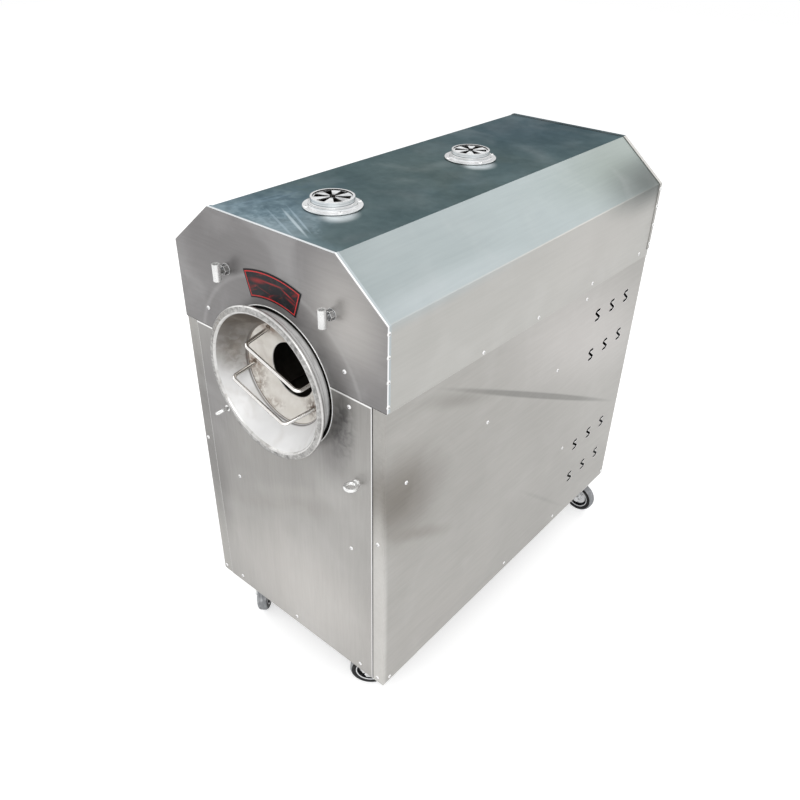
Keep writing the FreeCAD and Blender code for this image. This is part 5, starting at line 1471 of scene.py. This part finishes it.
@dataclass
class Mouth:
    """The drum's mouth: a turned funnel in a cast lip, with the welds of the rods in it."""

    lip: float = 172.0 * MM
    bore: float = 154.6 * MM
    neck: float = 152.0 * MM
    step: float = 115.0 * MM
    seat: float = 118.3 * MM
    opening: float = 158.8 * MM
    stand: float = 41.6 * MM
    step_depth: float = 18.0 * MM
    ring_depth: float = 30.0 * MM
    cone_edge: float = 118.0 * MM
    cone_hole: float = 63.0 * MM
    cone_depth: float = 24.0 * MM
    cone_rounding: float = 0.7 * MM
    facets: int = 144
    bead_facets: int = 120
    rim_bead: float = 1.1 * MM
    step_weld: float = 0.7 * MM
    foot_weld: float = 6.4 * MM
    weld_squash: float = 0.5
    weld_lumps: float = 0.16
    lump_turn: float = 2.4
    feet: tuple[Pair, ...] = ((-46.3, 93.9), (106.0, 35.0), (-102.7, -11.9), (87.0, -49.3))

    def build(self) -> None:
        """Builds the funnel, its opening's rim and the welds."""
        self.funnel()
        self.rim()
        self.welds()

    def centre(self) -> Vector:
        """Returns the middle of the mouth in the plane of the front."""
        return Vector((0.0, FRONT, DRUM_AXIS))

    def funnel(self) -> None:
        """Spins the funnel, with a full round lip outside and a smooth cone inside."""
        ahead = -self.stand
        outline = (
            (self.bore - 0.2 * MM, ahead + 4.4 * MM),
            (self.bore + 0.3 * MM, ahead + 2.2 * MM),
            (self.bore + 1.9 * MM, ahead + 0.7 * MM),
            (self.bore + 4.6 * MM, ahead),
            (self.lip - 6.0 * MM, ahead + 0.2 * MM),
            (self.lip - 2.4 * MM, ahead + 1.3 * MM),
            (self.lip - 0.5 * MM, ahead + 3.4 * MM),
            (self.lip, ahead + 5.6 * MM),
            (self.lip - 1.2 * MM, ahead + 9.0 * MM),
            (self.lip - 9.0 * MM, ahead + 18.6 * MM),
            (self.neck + 2.0 * MM, ahead + 32.0 * MM),
            (self.neck, -4.0 * MM),
            (self.neck - 0.1 * MM, -1.0 * MM),
            (self.neck - 2.0 * MM, self.ring_depth),
            (self.seat, self.ring_depth),
            (self.seat, self.step_depth),
            (self.step, self.step_depth),
        )
        form = Form().turned(outline, self.centre(), Axis.Y.vector(), self.facets)
        finishes = (CAST_MOUTH, CAST_LIP, LIP_EDGE, MOUTH_GAP, CAST_NECK)
        for face in form.mesh.faces:
            face.material_index = finishes.index(self.finish_of(face))
        form.piece("turned_funnel", finishes, "drum", "cast_mouth", "mouth_funnel")
        # The feed cone's rounded edges take a painted highlight
        cone = Form.of_node("feed_cone").soften(self.cone_rounding, painted_edge=1)
        cone.piece("dished_feed_cone", (FEED_STEEL, LIP_EDGE), "drum", "drum_steel", "feed_cone")

    def finish_of(self, face: BMFace) -> Finish:
        """Returns the finish of a face of the funnel, by where it lies."""
        spot = face.calc_center_median() - self.centre()
        radius = math.hypot(spot.x, spot.z)
        if radius < self.neck - 12.0 * MM:
            return CAST_MOUTH
        # Behind the front, the neck's end takes the gap's painted shade
        if spot.y > -1.0 * MM:
            return MOUTH_GAP
        if spot.y > -self.stand + 9.5 * MM:
            return CAST_NECK
        # The lip's band is cast; its rounded edges take their painted highlight
        on_lip = self.bore + 3.4 * MM < radius < self.lip - 3.0 * MM
        return CAST_LIP if on_lip else LIP_EDGE

    def rim(self) -> None:
        """Rolls a bead round the opening that the mouth turns in."""
        outline = round_section(self.opening + self.rim_bead * 0.8, -0.5 * MM, self.rim_bead, 10)
        form = Form().turned(outline, self.centre(), Axis.Y.vector(), self.bead_facets)
        form.piece("opening_bead", (EDGE_STEEL,), "cabinet", "casing_steel")

    def welds(self) -> None:
        """Lays a weld where each rod's foot meets the cone, and one round the funnel's step."""
        middle, ahead = self.step - self.step_weld * 0.2, self.step_depth + 0.6 * MM
        outline = round_section(middle, ahead, self.step_weld, 8)
        form = Form().turned(outline, self.centre(), Axis.Y.vector(), self.bead_facets)
        for across, up in self.feet:
            spot = self.centre() + Vector((across * MM, self.foot_depth(across, up), up * MM))
            made = bmesh.ops.create_icosphere(form.mesh, subdivisions=2, radius=self.foot_weld)
            squash = Matrix.Translation(spot) @ Matrix.Diagonal((1.0, self.weld_squash, 1.0, 1.0))
            bmesh.ops.transform(form.mesh, matrix=squash, verts=made["verts"])
            for count, vert in enumerate(made["verts"]):
                vert.co += (vert.co - spot) * self.weld_lumps * math.sin(count * self.lump_turn)
        form.piece("rod_welds", (WELD,), "drum", "cast_mouth")

    def foot_depth(self, across: float, up: float) -> float:
        """Returns how far behind the front the cone lies at a place, from millimetres about the axis."""
        radius = math.hypot(across, up) * MM
        share = (self.cone_edge - radius) / (self.cone_edge - self.cone_hole)
        return self.step_depth + min(max(share, 0.0), 1.0) * self.cone_depth


@dataclass
class FrontFittings:
    """What is bolted to the front: two tool sockets, two eye bolts and the badge."""

    ring: float = 12.1 * MM
    wire: float = 4.35 * MM
    stand: float = 18.0 * MM
    collar: float = 8.0 * MM
    shank: float = 4.0 * MM
    tail: float = 14.0 * MM
    nut: float = 7.5 * MM
    nut_place: float = 9.5 * MM
    nut_length: float = 6.5 * MM
    wire_facets: int = 14
    ring_facets: int = 40
    shank_facets: int = 20
    shoulder_facets: int = 28
    eye_height: float = 0.72
    eyes: tuple[Pair, ...] = ((223.0, 0.0), (-187.0, 37.0))
    socket_nuts: float = 16.0 * MM
    edge: float = 0.5 * MM
    margin: float = 3.2 * MM
    border: float = 2.2 * MM
    badge_edge: float = 0.4 * MM

    def build(self) -> None:
        """Builds the sockets, the eyes and the badge."""
        # The sockets' rounded edges take a painted highlight
        sockets = Form.of_node("tool_sockets").soften(self.edge, angle=TURNED_ANGLE, painted_edge=1)

        def on_nut(face: BMFace) -> bool:
            """Tells the nuts and washers from the tubes."""
            return face.material_index == 0 and face.calc_center_median().y > FRONT - self.socket_nuts

        sockets.paint_where(on_nut, 2)
        finishes = (SOCKET_STEEL, EDGE_STEEL, NUT_STEEL)
        sockets.piece("tool_socket_tubes", finishes, "cabinet", "bright_fittings", "tool_sockets")
        self.eye_bolts()
        self.badge()

    def eye_bolts(self) -> None:
        """Forges the two eyes, each with a shoulder, a shank and a nut inside."""
        form = Form()
        inner_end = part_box("eye_bolts")[1].y
        wire = round_section(self.ring, 0.0, self.wire, self.wire_facets)
        for x, turn in self.eyes:
            foot = Vector((x * MM, FRONT, self.eye_height))
            spin = Matrix.Rotation(math.radians(-turn), 3, "Y")
            centre = foot - Axis.Y.vector(self.stand)
            form.turned(wire, centre, spin @ Axis.Z.vector(), self.ring_facets)
            shoulder = (
                (0.0, 0.0),
                (self.collar, 0.0),
                (self.collar, -2.2 * MM),
                (self.collar - 1.0 * MM, -3.2 * MM),
                (self.shank + 0.8 * MM, -4.0 * MM),
                (self.shank, -6.0 * MM),
                (0.0, -6.0 * MM),
            )
            form.turned(shoulder, foot, Axis.Y.vector(), self.shoulder_facets, closed=False)
            form.rod(foot, foot + Axis.Y.vector(self.tail), self.shank, self.shank_facets)
            nut = foot + Axis.Y.vector(inner_end - FRONT - self.nut_place)
            form.rod(nut, nut + Axis.Y.vector(self.nut_length), self.nut, 6)
        form.piece("forged_eyes", (BRIGHT,), "cabinet", "zinc_fittings", "eye_bolts")

    def badge(self) -> None:
        """Cuts the badge: a black plate with a red border about a printed field."""
        form = Form.of_node("badge_plate")
        face = max(form.mesh.faces, key=lambda side: -side.normal.y * side.calc_area())
        even = {"faces": [face], "depth": 0.0, "use_even_offset": True}
        bmesh.ops.inset_region(form.mesh, thickness=self.margin, **even)
        ring = bmesh.ops.inset_region(form.mesh, thickness=self.border, **even)
        for side in ring["faces"]:
            side.material_index = 1
        face.material_index = 2
        form.soften(self.badge_edge)
        finishes = (BADGE, BADGE_RED, BADGE_FIELD)
        form.piece("badge_face", finishes, "cabinet", "badge_black", "badge_plate")


@dataclass
class Controls:
    """The controls at the rear, with a fluted knob and the marks of its dial."""

    knob: float = 20.0 * MM
    flutes: int = 18
    ticks: int = 11
    flute_depth: float = 0.045
    pointer: Triple = (1.8 * MM, 0.5 * MM, 12.0 * MM)
    pointer_place: float = 8.2 * MM
    tick_from: float = 23.5 * MM
    tick_length: float = 4.5 * MM
    tick_width: float = 0.9 * MM
    end_tick_width: float = 1.6 * MM
    tick_height: float = 0.3 * MM
    tick_sink: float = 0.1 * MM
    sweep: float = 270.0
    edge: float = 0.5 * MM
    cast_edge: float = 2.0 * MM

    def build(self) -> None:
        """Builds the knob, the dial and softened copies of the rest."""
        self.fluted_knob()
        self.dial()
        copies = {
            "control_panel": (BRIGHT, "bright_fittings", "cabinet"),
            "electrical_box": (BOX_PLASTIC, "box_plastic", "cabinet"),
            "cable_gland": (BLACK_PLASTIC, "black_plastic", "cabinet"),
            "main_switch": (BLACK_PLASTIC, "black_plastic", "switch"),
            "start_button": (BUTTON_GREEN, "button_green", "start"),
            "stop_button": (BUTTON_RED, "button_red", "stop"),
            "pilot_lamp": (LAMP_LENS, "lamp_lens", "cabinet"),
            "gearbox": (GEAR_CASTING, "gear_casting", "cabinet"),
        }
        for node, (finish, slot, body) in copies.items():
            width = self.cast_edge if node in ("electrical_box", "gearbox") else self.edge
            form = Form.of_node(node).soften(width, segments=3, angle=TURNED_ANGLE)
            form.piece(f"{node}_body", (finish,), body, slot, node)

    def fluted_knob(self) -> None:
        """Turns the thermostat's knob, with flutes round its grip and a white pointer."""
        low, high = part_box("thermostat_knob")
        centre = joint_of("thermostat_turn")[0]
        base = Vector((centre.x, low.y, centre.z))
        deep = high.y - low.y - 0.3 * MM
        grip = self.knob - 2.4 * MM
        form = Form()
        skirt = (
            (0.0, 0.0),
            (self.knob, 0.0),
            (self.knob, 2.6 * MM),
            (self.knob - 1.0 * MM, 4.2 * MM),
            (grip, 5.2 * MM),
            (grip - 0.8 * MM, deep - 1.6 * MM),
            (grip - 2.4 * MM, deep - 0.2 * MM),
            (grip - 6.0 * MM, deep),
            (0.0, deep),
        )
        form.turned(skirt, base, Axis.Y.vector(), self.flutes * 4, closed=False)
        for vert in form.mesh.verts:
            spot = vert.co - base
            radius = math.hypot(spot.x, spot.z)
            if grip - 3.0 * MM < radius < grip + 0.1 * MM and spot.y > 5.0 * MM:
                turn = math.atan2(spot.z, spot.x)
                share = 1.0 - self.flute_depth * (1.0 + math.cos(turn * self.flutes))
                vert.co = base + Vector((spot.x * share, spot.y, spot.z * share))
        top = base + Vector((0.0, deep, self.pointer_place))
        form.block(top, Vector(self.pointer), index=1)
        finishes = (BLACK_PLASTIC, DIAL_WHITE)
        form.piece("fluted_knob", finishes, "thermostat", "black_plastic", "thermostat_knob")

    def dial(self) -> None:
        """Prints the dial's marks on the plate round the knob."""
        centre = joint_of("thermostat_turn")[0]
        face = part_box("main_switch")[0].y - self.tick_sink
        reach = self.tick_from + self.tick_length / 2
        last = self.ticks - 1
        form = Form()
        for count in range(self.ticks):
            turn = math.radians((count / last - 0.5) * self.sweep)
            spot = Vector((centre.x + math.sin(turn) * reach, face, centre.z + math.cos(turn) * reach))
            width = self.end_tick_width if count in (0, last) else self.tick_width
            size = Vector((width, self.tick_height, self.tick_length))
            form.block(spot, size, Matrix.Rotation(turn, 4, "Y"))
        form.piece("dial_marks", (BLACK_PLASTIC,), "cabinet", "black_plastic")


@dataclass
class Casters:
    """The four casters: tyres with a light tread, ringed hubs with bolts, forks and brake levers."""

    tyre: float = 50.0 * MM
    rim: float = 34.0 * MM
    half: float = 14.0 * MM
    shoulder: float = 8.0 * MM
    disc: float = 6.0 * MM
    core: float = 12.0 * MM
    bore: float = 5.05 * MM
    bolt_circle: float = 19.0 * MM
    bolts: int = 5
    bolt_head: float = 3.4 * MM
    bolt_length: float = 3.0 * MM
    bolt_rise: float = 0.8 * MM
    tread: float = 4.0 * MM
    tyre_facets: int = 72
    hub_facets: int = 60
    edge: float = 0.5 * MM
    corners: tuple[str, ...] = ("front_right", "front_left", "rear_right", "rear_left")

    def build(self) -> None:
        """Builds the wheels and softened copies of what holds them."""
        for corner in self.corners:
            centre, axis = joint_of(f"wheel_{corner}_spin")
            self.rubber(corner, centre, axis)
            self.hub(corner, centre, axis)
            node = f"fork_{corner}"
            # The rounded edges of the forks, plates and levers take a painted highlight
            fork = Form.of_node(node).soften(self.edge, painted_edge=1)
            fork.piece(f"pressed_{node}", (FORK_STEEL, EDGE_STEEL), node, "zinc_fittings", node)
        finishes = (ZINC, EDGE_STEEL)
        plates = Form.of_node("caster_plates").soften(self.edge, painted_edge=1)
        plates.piece("caster_top_plates", finishes, "cabinet", "zinc_fittings", "caster_plates")
        for side in ("right", "left"):
            node = f"brake_lever_{side}"
            lever = Form.of_node(node).soften(self.edge, painted_edge=1)
            lever.piece(f"brake_pedal_{side}", finishes, f"brake_{side}", "zinc_fittings", node)

    def mirrored(self, side: Outline) -> list[Pair]:
        """Returns an outline of one side joined to its mirror image."""
        return [*side, *((radius, -ahead) for radius, ahead in reversed(side))]

    def rubber(self, corner: str, centre: Vector, axis: Vector) -> None:
        """Spins a tyre with a crowned, grooved tread and a stepped side wall."""
        side = (
            (self.rim, -self.half + 0.6 * MM),
            (self.rim + 3.0 * MM, -self.half + 0.6 * MM),
            (self.rim + 3.4 * MM, -self.half),
            (self.tyre - self.shoulder, -self.half),
            (self.tyre - 5.0 * MM, -self.half * 0.96),
            (self.tyre - 2.4 * MM, -self.half * 0.84),
            (self.tyre - 0.7 * MM, -self.half * 0.64),
            (self.tyre - 0.1 * MM, -self.half * 0.42),
            (self.tyre - 1.2 * MM, -self.half * 0.36),
            (self.tyre - 1.2 * MM, -self.half * 0.26),
            (self.tyre, -self.half * 0.2),
        )
        form = Form().turned(self.mirrored(side), centre, axis, self.tyre_facets)

        def on_tread(face: BMFace) -> bool:
            """Tells the tread from the side walls."""
            spot = face.calc_center_median() - centre
            return (spot - axis * spot.dot(axis)).length > self.tyre - self.tread

        form.paint_where(on_tread, 1)
        node = f"tyre_{corner}"
        form.piece(f"caster_{node}", (TYRE, TREAD), f"wheel_{corner}", "tyre_black", node)

    def hub(self, corner: str, centre: Vector, axis: Vector) -> None:
        """Spins a hub with a bright rim ring, a dark recess and a ring of bolts."""
        side = (
            (self.bore, -self.half + 1.0 * MM),
            (self.core - 1.0 * MM, -self.half + 1.0 * MM),
            (self.core, -self.half + 2.0 * MM),
            (self.core + 1.0 * MM, -self.disc - 1.0 * MM),
            (self.core + 12.0 * MM, -self.disc - 1.0 * MM),
            (self.core + 13.0 * MM, -self.disc),
            (self.rim - 3.4 * MM, -self.disc),
            (self.rim - 2.6 * MM, -self.half + 0.8 * MM),
            (self.rim - 1.6 * MM, -self.half - 0.2 * MM),
            (self.rim - 0.1 * MM, -self.half - 0.2 * MM),
            (self.rim - 0.1 * MM, -self.half + 0.6 * MM),
        )
        form = Form().turned(self.mirrored(side), centre, axis, self.hub_facets)
        across = axis.orthogonal().normalized()
        for count in range(self.bolts):
            arm = Matrix.Rotation(math.tau * count / self.bolts, 3, axis) @ across * self.bolt_circle
            for way in (-1.0, 1.0):
                foot = centre + arm + axis * way * (self.disc + self.bolt_rise)
                form.rod(foot, foot + axis * way * self.bolt_length, self.bolt_head, 6, 1)

        def in_recess(face: BMFace) -> bool:
            """Tells the dark recess inside the rim."""
            spot = face.calc_center_median() - centre
            radius = (spot - axis * spot.dot(axis)).length
            return self.core + 12.6 * MM < radius < self.rim - 2.2 * MM

        form.paint_where(in_recess, 2)
        node = f"hub_{corner}"
        finishes = (HUB, BRIGHT, BLACK_PLASTIC)
        form.piece(f"caster_{node}", finishes, f"wheel_{corner}", "hub_grey", node)


# ---------------------------------------------------------------------------------------------------
# Studio
# ---------------------------------------------------------------------------------------------------


@dataclass
class Studio:
    """The pale floor, the soft light and the camera."""

    floor_size: float = 14.0
    eye: Triple = (1.06305, -1.42001, 1.71924)
    turn: Triple = (56.7415, -1.0325, 40.4229)
    lens: float = 34.4586
    sensor: float = 36.0
    paper: Colour = (0.8, 0.8, 0.8, 1.0)
    paper_glow: float = 0.52
    sky_light: float = 0.65
    lit_spot: Triple = (0.0, 0.0, 0.6)
    lamps: tuple[tuple[str, Triple, float, float], ...] = (
        ("key", (2.2, -2.6, 3.4), 60.0, 2.4),
        ("fill", (-3.0, -1.4, 2.4), 26.0, 3.0),
        ("back", (0.6, 3.2, 3.0), 30.0, 3.0),
    )

    def build(self) -> None:
        """Builds the whole studio."""
        self.floor()
        self.sky()
        for lamp in self.lamps:
            self.lamp(*lamp)
        self.camera()
        view = bpy.context.scene.view_settings
        view.view_transform = "Standard"

    def floor(self) -> None:
        """Lays the floor, white where the camera sees it and shaded under the machine."""
        mesh = bpy.data.meshes.new("floor")
        form = bmesh.new()
        bmesh.ops.create_grid(form, x_segments=1, y_segments=1, size=self.floor_size)
        form.to_mesh(mesh)
        form.free()
        material = bpy.data.materials.new("floor_paper")
        material.use_nodes = True
        nodes = Nodes(material.node_tree)
        surface = material.node_tree.nodes["Principled BSDF"]
        surface.inputs["Base Color"].default_value = self.paper
        surface.inputs["Roughness"].default_value = 0.9
        surface.inputs["Specular IOR Level"].default_value = 0.1
        surface.inputs["Emission Color"].default_value = WHITE
        shown = self.rays(nodes, "Is Camera Ray", "Is Glossy Ray")
        nodes.wire(nodes.math("MULTIPLY", shown, self.paper_glow), surface, "Emission Strength")
        mesh.materials.append(material)
        floor = bpy.data.objects.new("floor", mesh)
        bpy.context.scene.collection.objects.link(floor)

    def sky(self) -> None:
        """Sets the world: white to look at and to mirror, and a plain soft light."""
        world = bpy.data.worlds.new("studio")
        world.use_nodes = True
        bpy.context.scene.world = world
        nodes = Nodes(world.node_tree)
        back = world.node_tree.nodes["Background"]
        back.inputs["Color"].default_value = WHITE
        shown = self.rays(nodes, "Is Camera Ray", "Is Glossy Ray", "Is Transmission Ray")
        strength = nodes.math("MULTIPLY_ADD", shown, 1.0 - self.sky_light, self.sky_light)
        nodes.wire(strength, back, "Strength")

    def rays(self, nodes: Nodes, first: str, *others: str) -> NodeSocket:
        """Returns 1 for rays of the named kinds and 0 for the rest."""
        path = nodes.add("ShaderNodeLightPath")
        mask = path.outputs[first]
        for kind in others:
            mask = nodes.math("MAXIMUM", mask, path.outputs[kind])
        return mask

    def lamp(self, name: str, spot: Triple, power: float, size: float) -> None:
        """Hangs a soft square lamp that points at the machine.

        Args:
            name: The lamp's name.
            spot: Where it hangs.
            power: Its power in watts.
            size: The side of its square.
        """
        light = bpy.data.lights.new(name, "AREA")
        light.energy = power
        light.size = size
        lamp = bpy.data.objects.new(name, light)
        lamp.location = spot
        aim = Vector(self.lit_spot) - lamp.location
        lamp.rotation_euler = aim.to_track_quat("-Z", "Y").to_euler()
        bpy.context.scene.collection.objects.link(lamp)

    def camera(self) -> None:
        """Stands the camera where the picture was taken from."""
        lens = bpy.data.cameras.new("camera")
        lens.lens = self.lens
        lens.sensor_width = self.sensor
        camera = bpy.data.objects.new("camera", lens)
        camera.location = self.eye
        camera.rotation_euler = Euler([math.radians(angle) for angle in self.turn])
        bpy.context.scene.collection.objects.link(camera)
        bpy.context.scene.camera = camera


def paint_nodes() -> None:
    """Gives every solid that stays in sight its finish."""
    for finish, names in NODE_FINISHES.items():
        for name in names:
            for slot in frame["nodes"][name].material_slots:
                slot.material = finish.made()
            log.info("%s: %s", name, finish.name)


def main() -> None:
    """Builds the studio and dresses the machine."""
    logging.basicConfig(level=logging.INFO, format="%(name)s %(message)s")
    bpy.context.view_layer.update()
    Studio().build()
    paint_nodes()
    for assembly in (Casing(), Vents(), Mouth(), FrontFittings(), Controls(), Casters()):
        assembly.build()


if __name__ == "__main__":
    main()
